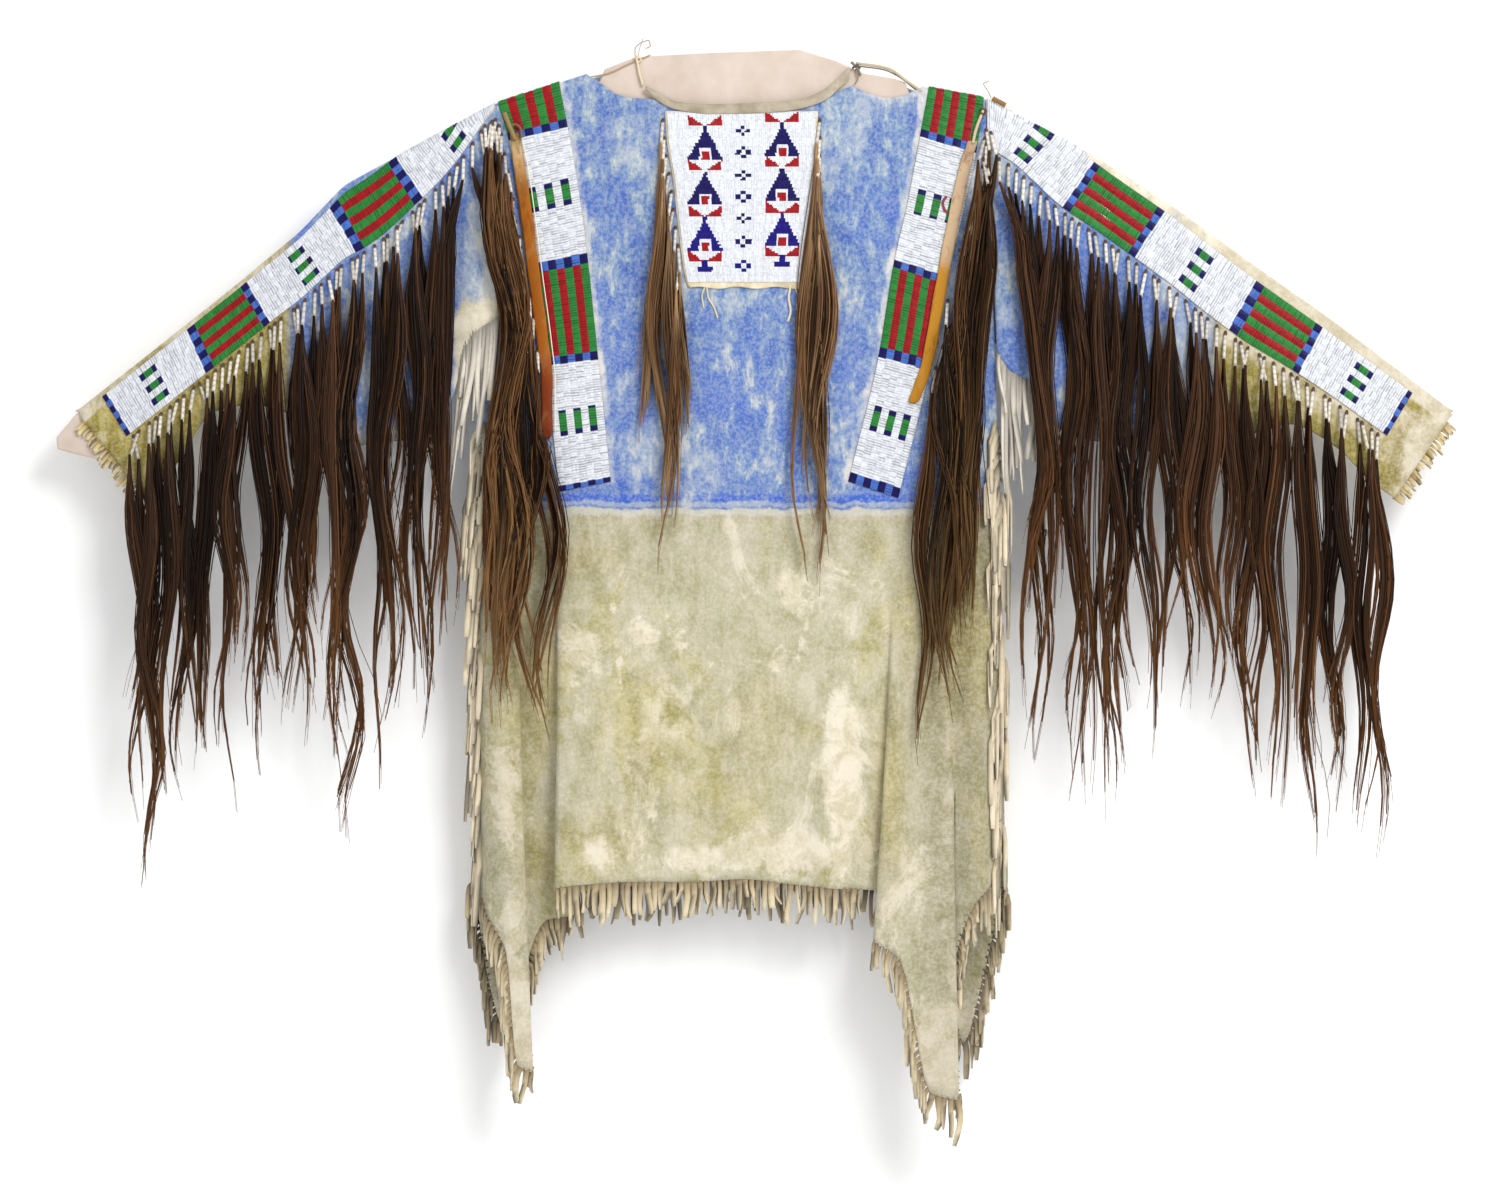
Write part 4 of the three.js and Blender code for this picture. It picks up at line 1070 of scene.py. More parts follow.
def bib(material, hide):
    low, high = BIB["z"][-1] + BIB_EDGE, BIB["z"][0] - 1

    def turned(b, a, out):
        z = mix(high, low, b)
        left, right = by_height(BIB, "leftX", z) + BIB_SIDE, by_height(BIB, "rightX", z) - BIB_SIDE
        return on_hide_at(mix(left, right, a), z, out)

    along, across = int(round((high - low) / BEAD)), int(round(BIB_WIDE / BEAD))
    a, b = ((np.arange(count) + 0.5) / count for count in (across, along))
    middles = turned(b, a[:, None], np.zeros((across, along)))
    names = np.array([[bead_at(p[0], p[2]) for p in line] for line in middles], object)
    points, faces, tones = bead_mesh(turned, BIB_LANE, names, 71, 0.5)
    dress(add_mesh("bib", points, faces, material, tones, "CORNER"), "beadwork", "bib")

    t = np.linspace(0, 1, 130)[:, None]
    s = np.linspace(0, 1, 50)[None]
    z = mix(BIB["z"][0], BIB["z"][-1], t)
    x = mix(by_height(BIB, "leftX", z), by_height(BIB, "rightX", z), s)
    ripple = smooth((t - RIPPLE_FROM) / 0.015)
    out = BACKING_OUT + 0.7 * (1 + np.sin(17 * s)) * ripple
    grid = on_hide_at(x, z + 1.1 * np.sin(19 * s) * ripple, out)
    backing = dress(add_mesh("bib_backing", *shell(grid, BACKING_THICK), hide), "beadwork")


# Hair

# The map of how far forward the cloth reaches
CELL = 6.0
MAP_LOW = (-800.0, -1200.0)
MAP_SIZE = (268, 204)

# The wrapped heads
WRAP_RADIUS = 2.1
WRAP_GROOVE = 0.3
WRAP_END = 1.3
WRAP_RINGS = 16
WRAP_SIDES = 6
KNOT_LONG = 0.2

# The locks, their thick sub-locks and the loose hairs round them
ROOT_OUT = BEAD_BASE + 1.0
HAIR_STEPS = 14
SUB_LOCKS = 3
CORE = 2.3
STRAYS = 0.025
STRAY_FAR = 9
TIGHT = 2.0
MARGIN = (3, 14)
BESIDE_SOFT = 5.0
HEAD_LONG = 27
HEAD_MORE = 8
FOOT_SWAY = 3.5
TOGETHER = 0.7
LOCK_WIDTHS = (0.75, 1.2)
SUB_WAVE = ((1.5, 4.5), (190, 340))
THICK = (0.6, 0.95)
TAPER = ((0, 0.1, 0.6, 1), (0.7, 1, 0.85, 0.35))

# Their tones, and how much these differ by lock, by sub-lock and by hair
LIGHTNESS = 0.38
BY_LOCK, BY_SUB_LOCK, BY_HAIR = 0.22, 0.24, 0.12
GLINT = 0.4
TIP = 0.52

# What all locks share where a row of them says nothing else, then each row
ANY_HAIR = {"lean": 0, "short": 0.45, "long": (220, 420), "sides": (), "glints": 0.07, "head": 0.0}
SLEEVE_HAIR = {**ANY_HAIR, "dark": "#1d120b", "light": "#4c3220", "gold": "#885a30", "wide": 11,
               "strands": 30, "layers": 9, "clear": 4.0, "group": 2, "short": 0.38, "lock": (4, 11)}
BODY_HAIR = {**ANY_HAIR, "wide": 14, "strands": 24, "layers": 12, "clear": 6.0, "glints": 0.2,
             "group": 3, "lock": (7, 17), "short": 0.3}
BROWN_HAIR = {**BODY_HAIR, "dark": "#1a0e06", "light": "#7a5230", "gold": "#ab8050"}
DEEP_HAIR = {**BODY_HAIR, "dark": "#140b05", "light": "#5a3c22", "gold": "#8c6a40"}
TAN_HAIR = {**ANY_HAIR, "dark": "#3a2414", "light": "#8c6642", "gold": "#b8956c", "wide": 9,
            "strands": 32, "layers": 8, "clear": 4.0, "glints": 0.15, "head": 0.8,
            "lock": (5, 12), "long": (300, 520), "group": 2}


def map_cell(x, z):
    return [((place - low) / CELL).astype(int) for place, low in zip((x, z), MAP_LOW)]


def depth_map(grids):
    """How far forward the cloth reaches in each cell of the front view."""
    depth = np.full(MAP_SIZE, 0.0)
    for grid in grids:
        ix, iz = map_cell(grid[..., 0], grid[..., 2])
        np.minimum.at(depth, (ix, iz), grid[..., 1])
    spread = np.pad(depth, 1, mode="edge")
    around = [spread[a:a + MAP_SIZE[0], b:b + MAP_SIZE[1]] for a in range(3) for b in range(3)]
    return np.min(around, 0)


def depth_at(depth, x, z):
    ix, iz = map_cell(x, z)
    return depth[np.clip(ix, 0, MAP_SIZE[0] - 1), np.clip(iz, 0, MAP_SIZE[1] - 1)]


def wraps_piece(name, roots, feet, material):
    """A dark knot at each root, then a white wrapped head down to its foot."""
    t = np.linspace(0, 1, WRAP_RINGS)
    number = np.arange(WRAP_RINGS)
    paths = roots[:, None] + (feet - roots)[:, None] * t[None, :, None]
    knot = t < KNOT_LONG
    wrap = WRAP_RADIUS - WRAP_GROOVE * (number % 2)
    radius = np.where(knot, 1.1 + 1.2 * np.sin(np.pi * t / KNOT_LONG), wrap)
    radius[-1] = WRAP_END
    points, faces = tubes(paths, np.tile(radius, (len(roots), 1)), WRAP_SIDES)
    rng = np.random.default_rng(len(name))
    white, dark, tan = (linear(colour) for colour in (COLOURS["wrap"], COLOURS["knot"], "#b5aa9d"))
    ring = np.where(knot[:, None], dark, np.where(number[:, None] % 3 == 1, tan, white))
    tone = ring[None] * (1 + 0.14 * rng.standard_normal((len(roots), 1, 1))).clip(0.6, 1.2)
    tone = np.repeat(tone[:, :, None, :], WRAP_SIDES, 2)
    return dress(add_mesh(name, points, faces, material, tone.reshape(-1, 3)), "hair")


def beside(x, z, margin, table, column, side):
    """Locks that would cross an edge hang close beside it instead."""
    limit = by_height(table, column, z) + side * margin
    return limit + side * BESIDE_SOFT * np.logaddexp(0, side * (x - limit) / BESIDE_SOFT)


def wave(rng, shape, high, long):
    """The size, turn and length of slow sideways waves."""
    return [rng.uniform(*limits, shape) for limits in (high, (0, 2 * math.pi), long)]


def waved(parts, way):
    size, turn, span = parts
    return size * (np.sin(2 * math.pi * way / span + turn) - np.sin(turn))


def lock_middles(rng, look, foot_x, way, z):
    """How the middle of each lock hangs. Neighbours of one group share a slow wave and
    are drawn together, and all keep to their side of the edges."""
    group = np.arange(len(foot_x)) // look["group"]
    shared = [part[group] for part in wave(rng, (group[-1] + 1, 1, 1), look["lock"], look["long"])]
    together = (np.bincount(group, foot_x.ravel()) / np.bincount(group))[group][:, None, None]
    pull = (together - foot_x) * TOGETHER * smooth((way - 150) / 280)
    middle = foot_x + pull + waved(shared, way) * smooth(way / 200)
    margin = rng.uniform(*MARGIN, foot_x.shape)
    for table, column, side, chosen in look["sides"]:
        aside = beside(middle, z, margin, table, column, side)
        middle = np.where(chosen[:, None, None], mix(middle, aside, smooth(way / 60)), middle)
    return middle


def hairs_across(rng, look, middle, own, tight, loose_hair, pick, way, t):
    """Where each hair hangs round the middle of its lock, with a few strays."""
    n, m = own.shape[:2]
    wide = (look["wide"] * rng.uniform(*LOCK_WIDTHS, n))[:, None, None]
    spread = smooth(way / 110) * (1 - 0.35 * smooth((t - 0.4) / 0.6))
    apart = pick(np.linspace(-0.5, 0.5, SUB_LOCKS)[None] + rng.uniform(-0.16, 0.16, (n, SUB_LOCKS)))
    waves = [pick(values) for values in wave(rng, (n, SUB_LOCKS), *SUB_WAVE)]
    loose = smooth((way - 90) / 260) * (0.7 + 0.7 * smooth((t - 0.45) / 0.55))
    x = middle + spread * apart * wide + waved(waves, way) * loose
    x = x + own * (0.55 + tight)
    stray = (rng.random((n, m, 1)) < STRAYS) * rng.standard_normal((n, m, 1)) * STRAY_FAR
    return x + stray * loose_hair * smooth((t - 0.35) / 0.65)


def hair_tones(rng, look, pick, shape, t):
    """From dark to light by lock, sub-lock and hair, with golden tips and a few hairs painted golden as
    glints.
    """
    n, m, k = shape
    dark, light, gold = (np.array(linear(look[name])) for name in ("dark", "light", "gold"))
    shade = LIGHTNESS + BY_LOCK * rng.standard_normal((n, 1, 1))
    shade = shade + BY_SUB_LOCK * pick(rng.standard_normal((n, SUB_LOCKS)))
    shade = np.clip(shade + BY_HAIR * rng.standard_normal((n, m, 1)), 0, 1)[..., None]
    # Painted highlight: a few hairs are lightened towards gold as glints
    glint = (rng.random((n, m, 1)) < look["glints"])[..., None] * GLINT
    tone = mix(mix(dark, light, shade), gold, glint)
    head = look["head"] * (1 - smooth(t / 0.35))[..., None]
    tone = mix(tone, gold, head * (0.4 + 0.6 * shade))
    tone = mix(tone, gold, smooth((t - 0.6) / 0.4)[..., None] * TIP)
    return np.broadcast_to(tone, (n, m, k, 3)).reshape(n * m, k, 1, 3)


def hair_piece(name, roots, ends, depth, look, seed, materials):
    """Locks from their roots to their ends. Each has a few thick sub-locks with loose
    hairs round them."""
    rng = np.random.default_rng(seed)
    n, m, k = len(roots), look["strands"], HAIR_STEPS
    foot = roots.copy()
    foot[:, 0] += look["lean"] + FOOT_SWAY * rng.standard_normal(n)
    foot[:, 2] -= HEAD_LONG + HEAD_MORE * rng.random(n)
    layer = look["clear"] + look["layers"] * (np.arange(n) % 3) / 2
    foot[:, 1] = np.minimum(roots[:, 1], depth_at(depth, foot[:, 0], foot[:, 2]) - layer)
    foot_x, foot_y, foot_z = foot.T[:, :, None, None]
    wraps_piece(name + "_wraps", roots, foot, materials[1])

    sub = rng.integers(0, SUB_LOCKS, (n, m))
    sub[:, :SUB_LOCKS] = np.arange(SUB_LOCKS)
    loose_hair = (np.arange(m) >= SUB_LOCKS)[None, :, None]
    own = np.clip(rng.standard_normal((n, m, 1)), -1.9, 1.9) * loose_hair
    pick = lambda values: np.take_along_axis(values, sub, 1)[..., None]
    t = np.linspace(0, 1, k)[None, None]
    sub_short = pick(1 - look["short"] * rng.random((n, SUB_LOCKS)) ** 1.3)
    short = sub_short * (1 - 0.3 * rng.random((n, m, 1)) ** 1.4 * loose_hair - 0.08 * ~loose_hair)
    way = (foot_z - ends[:, None, None]) * short * t
    z = foot_z + 3 - way

    middle = lock_middles(rng, look, foot_x, way, z)
    tight = TIGHT * smooth(way / 70) * (1 - 0.8 * smooth((t - 0.4) / 0.6))
    x = hairs_across(rng, look, middle, own, tight, loose_hair, pick, way, t)
    if "wall" in look:
        table, side, until = look["wall"]
        limit = by_height(table, "x", z) + side * (STRAP_WIDE / 2 + 1)
        inside = (side * (x - limit) < 0) & (z > until)
        x = np.where(inside, limit + side * np.abs(own) * 1.5, x)
    front = depth_at(depth, x, z) - layer[:, None, None] - pick(rng.uniform(0, 4, (n, SUB_LOCKS)))
    y = np.minimum.accumulate(np.minimum(front, foot_y), axis=2)
    y = y - np.abs(rng.standard_normal((n, m, 1))) * loose_hair * tight * 0.8 - 0.4
    paths = np.stack(np.broadcast_arrays(x, y, z), -1).reshape(n * m, k, 3)
    thick = rng.uniform(*THICK, (n * m, 1))
    thick = np.where(np.tile(loose_hair[0], (n, 1)), thick, CORE)
    taper = np.interp(np.linspace(0, 1, k), *TAPER)
    tones = np.repeat(hair_tones(rng, look, pick, (n, m, k), t), 3, 2).reshape(-1, 3)
    return dress(add_mesh(name, *tubes(paths, thick * taper, 3, 0.6), materials[0], tones), "hair", name)


def sleeve_roots(table, count, seed):
    rng = np.random.default_rng(seed)
    fine = np.linspace(0.08, length_of(table) - 0.5, 300)
    ways = np.abs(row_at(table, fine)["lowX"] - table["lowX"][0])
    even = np.linspace(ways[0], ways[-1], count) + rng.uniform(-2.5, 2.5, count)
    row = row_at(table, np.interp(even, ways, fine))
    return on_hide(row["lowX"], np.maximum(row["low"], QUARTER) + 3.5, ROOT_OUT)


def body_roots(table, side, count, seed):
    rng = np.random.default_rng(seed)
    place = (0.1 + 0.72 * np.linspace(0, 1, count) ** 1.25) * length_of(table)
    row = row_at(table, place + rng.uniform(-0.05, 0.05, count))
    return on_hide_at(row["outerX"] + side * rng.uniform(6, 13, count), row["outerZ"], ROOT_OUT)


def bib_roots(column, side, count):
    z = np.linspace(BIB["z"][0] - 8, BIB["z"][4] + 6, count)
    return on_hide_at(by_height(BIB, column, z) + side * 2.5, z, ROOT_OUT)


def uneven_ends(roots, much, seed, low=-1.4, high=1.4):
    return much * np.random.default_rng(seed).standard_normal(len(roots)).clip(low, high)


def all_hair(depth):
    wrap = toned("wrapped_heads", 0.6, 0.1, scale=500, spread=0.15, strength=0.4)
    materials = hair_material(), wrap
    # Sleeve locks nearer to the middle than the last number hang on the body's side
    for place, table, ends, parting, side, seed, near in (
        ("left", STRIP_SLEEVE_LEFT, HAIR_ENDS_LEFT, PARTING_LEFT, -1, 3, -PARTING_LEFT["armX"][0]),
        ("right", STRIP_SLEEVE_RIGHT, HAIR_ENDS_RIGHT, PARTING_RIGHT, 1, 4, 0),
    ):
        roots = sleeve_roots(table, 48, seed)
        uneven = uneven_ends(roots, 36, seed)[np.arange(len(roots)) // 2]
        over = side * roots[:, 0] < near
        look = {**SLEEVE_HAIR, "sides": ((parting, "armX", side, ~over), (parting, "bodyX", -side, over))}
        end_z = np.interp(roots[:, 0], ends["x"], ends["z"]) + uneven
        hair_piece("hair_sleeve_" + place, roots, end_z, depth, look, seed, materials)
    for place, table, side, shades, strap_table, parting, until, last, seed in (
        ("left", STRIP_BODY_LEFT, -1, BROWN_HAIR, STRAP_LEFT, PARTING_LEFT, -430, -765, 5),
        ("right", STRIP_BODY_RIGHT, 1, DEEP_HAIR, STRAP_RIGHT, PARTING_RIGHT, -380, -740, 6),
    ):
        roots = body_roots(table, side, 26, seed)
        every = np.ones(len(roots), bool)
        look = {**shades, "wall": (strap_table, side, until), "sides": ((parting, "bodyX", -side, every),)}
        end_z = np.linspace(-640, last, len(roots)) + uneven_ends(roots, 35, seed)
        hair_piece("hair_body_" + place, roots, end_z, depth, look, seed, materials)
    for place, side, seed in (("left", -1, 7), ("right", 1, 8)):
        roots = bib_roots(place + "X", side, 9)
        end_z = -490 + uneven_ends(roots, 90, seed, -1.5, 0.9)
        look = {**TAN_HAIR, "lean": 2.0 * side}
        hair_piece("hair_bib_" + place, roots, end_z, depth, look, seed, materials)


# Cut fringe

# The cuts: how far in they start, their width and painted shade from root to tip, and the painted shade of
# their back faces
FRINGE_STEPS = 7
FRINGE_THICK = 1.1
FRINGE_IN = 1.5
WIDTH_DOWN = ((0, 0.12, 0.3, 0.9, 1), (0.98, 0.84, 0.8, 0.82, 0.6))
PAINTED_SHADE_DOWN = ((0, 0.35, 1), (0.5, 0.92, 1))
PAINTED_SHADE_BEHIND = 0.22
DOWN = (0, 0, -1)

# What all fringe shares where a row of it says nothing else, then each row
ANY_FRINGE = {"turn": 0.5, "spread": 1.0, "loose": 0.3, "vary": 0.2, "sway": 2.2, "inset": (0, 0),
              "out": 1.6, "fat": 1.0, "colour": COLOURS["fringe"], "tip": "#e4d6ba"}
HEM = {**ANY_FRINGE, "pitch": 7.2, "long": 43, "spread": 0.8, "sway": 3.4, "fat": 0.92,
       "colour": "#b9a47e", "tip": "#ddcfae"}
# The back hem's cuts are coloured darker, as painted shade
HEM_BACK = {**HEM, "colour": "#948468", "tip": "#c0b08f"}
SIDE = {**ANY_FRINGE, "pitch": 9, "long": 88, "spread": 0.8, "loose": 0.5, "turn": 0.3, "sway": 4.5,
        "fat": 0.8, "out": 5.0}
FLAP = {**ANY_FRINGE, "pitch": 4.6, "long": 122, "spread": 0.3, "turn": 0.2, "sway": 7, "fat": 1.35,
        "out": 7.0, "vary": 0.32, "colour": "#ddd4c6", "tip": "#e6ddcc"}
CUFF = {**ANY_FRINGE, "pitch": 5, "long": 17, "turn": 2.6, "sway": 1.0, "colour": "#bfa568",
        "tip": "#decb9c"}


def along_edge(edge, inside, pitch):
    """Evenly spaced roots on an edge, with the way along it and the way out of the cloth."""
    ways = ways_along(edge)
    at = np.arange(pitch / 2, ways[-1], pitch)
    root, inner = (np.stack([np.interp(at, ways, line[:, k]) for k in range(3)], 1)
                   for line in (edge, inside))
    tangent = unit(np.gradient(root, axis=0))
    out = root - inner
    out -= tangent * np.einsum("ij,ij->i", out, tangent)[:, None]
    return root, tangent, unit(out)


def fringe_piece(name, edge, inside, hang, sizes, seed, material):
    """Narrow cuts that leave the edge along it and then hang."""
    rng = np.random.default_rng(seed)
    root, tangent, out = (part[:, None] for part in along_edge(edge, inside, sizes["pitch"]))
    n, k = len(root), FRINGE_STEPS
    each = (n, 1, 1)
    share = np.linspace(0, 1, k)
    t = share[None, :, None]
    spread = sizes["spread"] * (1 + sizes["loose"] * rng.standard_normal(each))
    way = unit(mix(out * spread, unit(np.array(hang, float)), smooth(t / sizes["turn"])))
    varied = 1 + sizes["vary"] * rng.standard_normal(n)
    long = (sizes["long"] * varied.clip(0.5, 1.4))[:, None, None]
    path = root - out * FRINGE_IN + np.cumsum(way * long / k, axis=1) - way[:, :1] * long / k
    sway = rng.standard_normal(each) * sizes["sway"]
    inset = rng.uniform(*sizes["inset"], each)
    path = path + out * inset * smooth(t / 0.3)
    path[..., 1] -= np.abs(inset[..., 0]) / 3 * smooth(t[..., 0] / 0.15)
    path = path + tangent * (sway * np.sin(3.2 * t + rng.uniform(0, 6.28, each)) * t)
    path[..., 1] -= np.abs(rng.standard_normal((n, 1))) * sizes["out"] * t[..., 0] ** 1.2
    twist = rng.standard_normal(each) * 0.8 * t ** 1.2
    front = np.array([0, -1.0, 0])
    level = unit(np.cross(np.gradient(path, axis=1) * np.array([1, 0, 1.0]), front))
    across = level * np.cos(twist) + front * np.sin(twist)
    width = sizes["pitch"] * np.interp(share, *WIDTH_DOWN)[None]
    width = width * sizes["fat"] * (1 + 0.22 * rng.standard_normal((n, 1))).clip(0.55, 1.3)
    points, faces = ribbons(path, across, width, FRINGE_THICK)
    base, tip = (np.array(linear(sizes[end])) for end in ("colour", "tip"))
    tone = mix(base, tip, smooth(t)) * (1 + 0.16 * rng.standard_normal(each)).clip(0.6, 1.1)
    tones = np.repeat(np.broadcast_to(tone, (n, k, 3))[:, :, None, :], 4, 2).copy()
    forward = points.reshape(n, k, 4, 3)[..., 1]
    # Painted shade: each cut's back corners and the part near its root are darkened
    behind = forward > forward.mean(2, keepdims=True)
    tones *= np.where(behind, PAINTED_SHADE_BEHIND, 1.0)[..., None]
    tones *= np.interp(share, *PAINTED_SHADE_DOWN)[None, :, None, None]
    return dress(add_mesh(name, points, faces, material, tones.reshape(-1, 3)), "cut_fringe", name)


def all_fringe(grids, material):
    front, back = grids["body_front"], grids["body_back"]
    left, right = grids["sleeve_left"], grids["sleeve_right"]
    half = left.shape[1] // 2 + len(ON_ROUND)
    for name, grid, first, last, sizes, seed in (
        ("fringe_hem_left", front, 0, 7 * PER_GUIDE, HEM, 31),
        ("fringe_hem_centre", front, 8 * PER_GUIDE, 16 * PER_GUIDE, HEM, 32),
        ("fringe_hem_right", front, 18 * PER_GUIDE, 24 * PER_GUIDE, HEM, 33),
        ("fringe_hem_back", back, 0, back.shape[0] - 1, HEM_BACK, 34),
    ):
        edge, inside = grid[first:last + 1, -1], grid[first:last + 1, -3]
        fringe_piece(name, edge, inside, DOWN, sizes, seed, material)
    for name, column, inner, lean, inset, seed in (
        ("fringe_side_left", 0, 3, -0.08, (-8, 10), 35),
        ("fringe_side_right", -1, -4, 0.0, (-20, 10), 36),
    ):
        keep = (front[column][:, 2] < -395) & (front[column][:, 2] > -900)
        fringe_piece(name, front[column][keep], front[inner][keep], (lean, 0, -1),
                     {**SIDE, "inset": inset}, seed, material)
    for name, grid, last, lean, seed in (("fringe_flap_left", left, 9, -0.08, 37),
                                         ("fringe_flap_right", right, 17, 0.02, 38)):
        edge, inside = grid[:last + 1, -1], grid[:last + 1, -3]
        fringe_piece(name, edge, inside, (lean, -0.03, -1), FLAP, seed, material)
    for name, grid, seed in (("fringe_cuff_left", left, 39), ("fringe_cuff_right", right, 40)):
        fringe_piece(name, grid[-1, half:], grid[-3, half:], DOWN, CUFF, seed, material)


# Small pieces

THONG, DARK, THREAD = "#d6c8a8", "#5a4a3a", "#efe6cf"
TIE_SIDES = 8
TRIM_OUT = BEAD_BASE + 1.2
STRAP_END = 0.12
STRAP_WIDTHS = ((0, 0.25, 0.7, 1), [share * STRAP_WIDE for share in (0.8, 1, 0.98, 0.92)])
BUNDLE_OUT = BEAD_BASE + 5
BUNDLE_TURNS = 14

# The ties. Each tube has a radius, a colour, its number of steps and its points, which are
# places (x, y, z), or places (x, z) after how far they lie above the middle of the hide
TIES_AT_NECK = {
    "neck_tie_left": (
        (1.4, THONG, 24, (-121, -5.2, -1), (-119, -5.8, -9), (-118, -5.8, -14), (-116, -6.4, -24),
         (-112, -6.6, -38)),
        (1.2, THONG, 16, (-121, -6.2, -8), (-116, -7.2, -7), (-114, -5.8, -10), (-119, -5.4, -12)),
        (0.5, "#8f7a55", 30, (-118, -5.5, -8), (-121, -5.5, 2), (-113, -6, 10), (-106, -6, 12),
         (-104, -6, 6), (-109, -6, 3)),
        (0.35, "#a08a62", 12, (-118, -5.5, -8), (-116, -5.5, 2), (-112, -6, 14)),
    ),
    "neck_tie_right": (
        (1.5, "#7d7466", 24, (117, -4.8, -12), (120, -6.6, -15), (124, -6.4, -20), (127, -5, -26)),
        (1.3, DARK, 16, (118, -6.8, -19), (122, -7.8, -16), (126, -6.4, -18), (121, -5.4, -21)),
        (0.8, "#8b8171", 14, (122, -6.2, -20), (124, -6.4, -30), (121, -6.6, -36)),
    ),
    "neck_edge_back": (
        (1.5, "#b8a888", 30, (122, -4.5, -13), (150, -5.0, -17), (160, -5.0, -20), (178, -5.4, -33),
         (194, -5.6, -44)),
        (0.7, "#5d4a34", 30, (124, -4.2, -16), (152, -4.6, -20), (166, -4.8, -26), (190, -5.2, -44)),
        (0.8, "#a88f72", 30, (-174, -4.8, -29), (-150, -4.8, -24), (-128, -4.6, -14), (-104, -4.6, -4)),
    ),
}
TIES_ON_HIDE = {
    "bib_tie_left": (
        (1.0, THONG, 24, 2.2, (-42, -260), (-40, -272), (-34, -282), (-30, -294)),
        (0.9, THONG, 24, 2.0, (-44, -260), (-47, -270), (-45, -284)),
    ),
    "bib_tie_right": (
        (1.4, "#ddd0b4", 24, 2.4, (50, -258), (48, -272), (50, -286), (47, -298)),
        (1.1, THONG, 24, 2.2, (54, -258), (58, -270), (57, -284), (60, -294)),
    ),
}
STRAP_THONGS = (
    (1.7, "#c9b291", 24, 6.6, (262, -64), (258, -74), (253, -88), (250, -102)),
    (1.5, "#4c3823", 24, 7.2, (259, -63), (264, -66), (262, -70), (257, -68)),
    (2.6, "#8f7444", 24, 6.9, (-264, -68), (-261, -76), (-256, -88), (-252, -98)),
    (1.2, "#6f5a34", 24, 7.4, (-259, -84), (-252, -81), (-246, -86), (-245, -96)),
    (1.4, "#8c2438", 24, 4.0, (221, -160), (217, -167), (219, -175), (223, -178)),
    (0.6, THREAD, 60, 6.2, (-246, -88), (-238, -128), (-231, -175), (-222, -245), (-212, -320),
     (-208, -362), (-208, -420)),
)


def smooth_path(points, steps):
    points = np.array(points, float)
    place = np.linspace(0, len(points) - 1, steps)
    return np.stack([through(points[:, k], place) for k in range(3)], 1)


def tie_tube(radius, colour, steps, *points):
    if np.ndim(points[0]) == 0:
        points = [on_hide_at(x, z, points[0]) for x, z in points[1:]]
    return smooth_path(points, steps), radius, colour


def turned_tube(path, radius):
    """A tube square to its path, for short ties that turn any way."""
    along = unit(np.gradient(path, axis=0))
    across = unit(np.cross(along, np.array([0.0, 1.0, 0.0])))
    up = np.cross(across, along)
    angle = 2 * math.pi * np.arange(TIE_SIDES) / TIE_SIDES
    ring = across[:, None] * np.cos(angle)[None, :, None] + up[:, None] * np.sin(angle)[None, :, None]
    points = path[:, None] + ring * np.broadcast_to(radius, len(path))[:, None, None]
    points = points.reshape(-1, 3)
    return points, outward(points, ring_faces(1, len(path), TIE_SIDES))


def tie(name, parts, material, *nodes):
    """Several tubes of (path, radius, colour) joined as one piece."""
    made = [turned_tube(path, radius) for path, radius, _ in parts]
    tones = [np.tile(linear(colour), (len(points), 1)) for (points, _), (_, _, colour) in zip(made, parts)]
    return dress(add_mesh(name, *joined(made), material, np.concatenate(tones)), "thong", *nodes)


def shoulder_bundle(material):
    """A small bundle wound with thread, with a loose end over the shoulder."""
    start, *wound = [on_hide(x, 3, BUNDLE_OUT) for x in (270, *(272 + 1.1 * np.arange(BUNDLE_TURNS)))]
    stem = [on_hide(x, 3, BUNDLE_OUT) for x in (270, 276, 284, 296)]
    swell = np.interp(np.linspace(0, 1, 24), (0, 0.2, 0.6, 1), (1.0, 2.4, 1.8, 0.5))
    tie("shoulder_bundle", [
        (smooth_path(stem, 24), swell, THREAD),
        (np.array(wound), np.where(np.arange(BUNDLE_TURNS) % 2, 2.9, 2.4), "#8a6428"),
        (smooth_path([start, (267, -6, -44), (262, -7, -36), (268, -7, -33)], 20), 0.45, "#8f7340"),
    ], material, "shoulder_bundle")


def ties(material):
    for name, tubes_of_tie in {**TIES_AT_NECK, **TIES_ON_HIDE}.items():
        nodes = () if name == "neck_edge_back" else (name,)
        tie(name, [tie_tube(*tube) for tube in tubes_of_tie], material, *nodes)
    shoulder_bundle(material)
    tie("strap_thongs", [tie_tube(*tube) for tube in STRAP_THONGS], material)


def band(name, grid, crown, thick, material, slot, long):
    """A strip with a rounded top over a grid of middle points."""
    s = np.linspace(-1, 1, grid.shape[1])[None, :, None]
    raised = grid - np.array([0, 1.0, 0]) * crown * (1 - s ** 2)
    piece = dress(add_mesh(name, *shell(raised, thick), material), slot, name)


def neck_trim(material):
    row = row_at(NECK_TRIM, np.linspace(0, length_of(NECK_TRIM), 120)[:, None])
    z = mix(row["high"], row["low"], np.linspace(0, 1, 13)[None])
    grid = on_hide_at(row["x"], z, TRIM_OUT)
    band("neck_trim", grid, 1.3, 1.8, material, "neck_trim", 0.25)


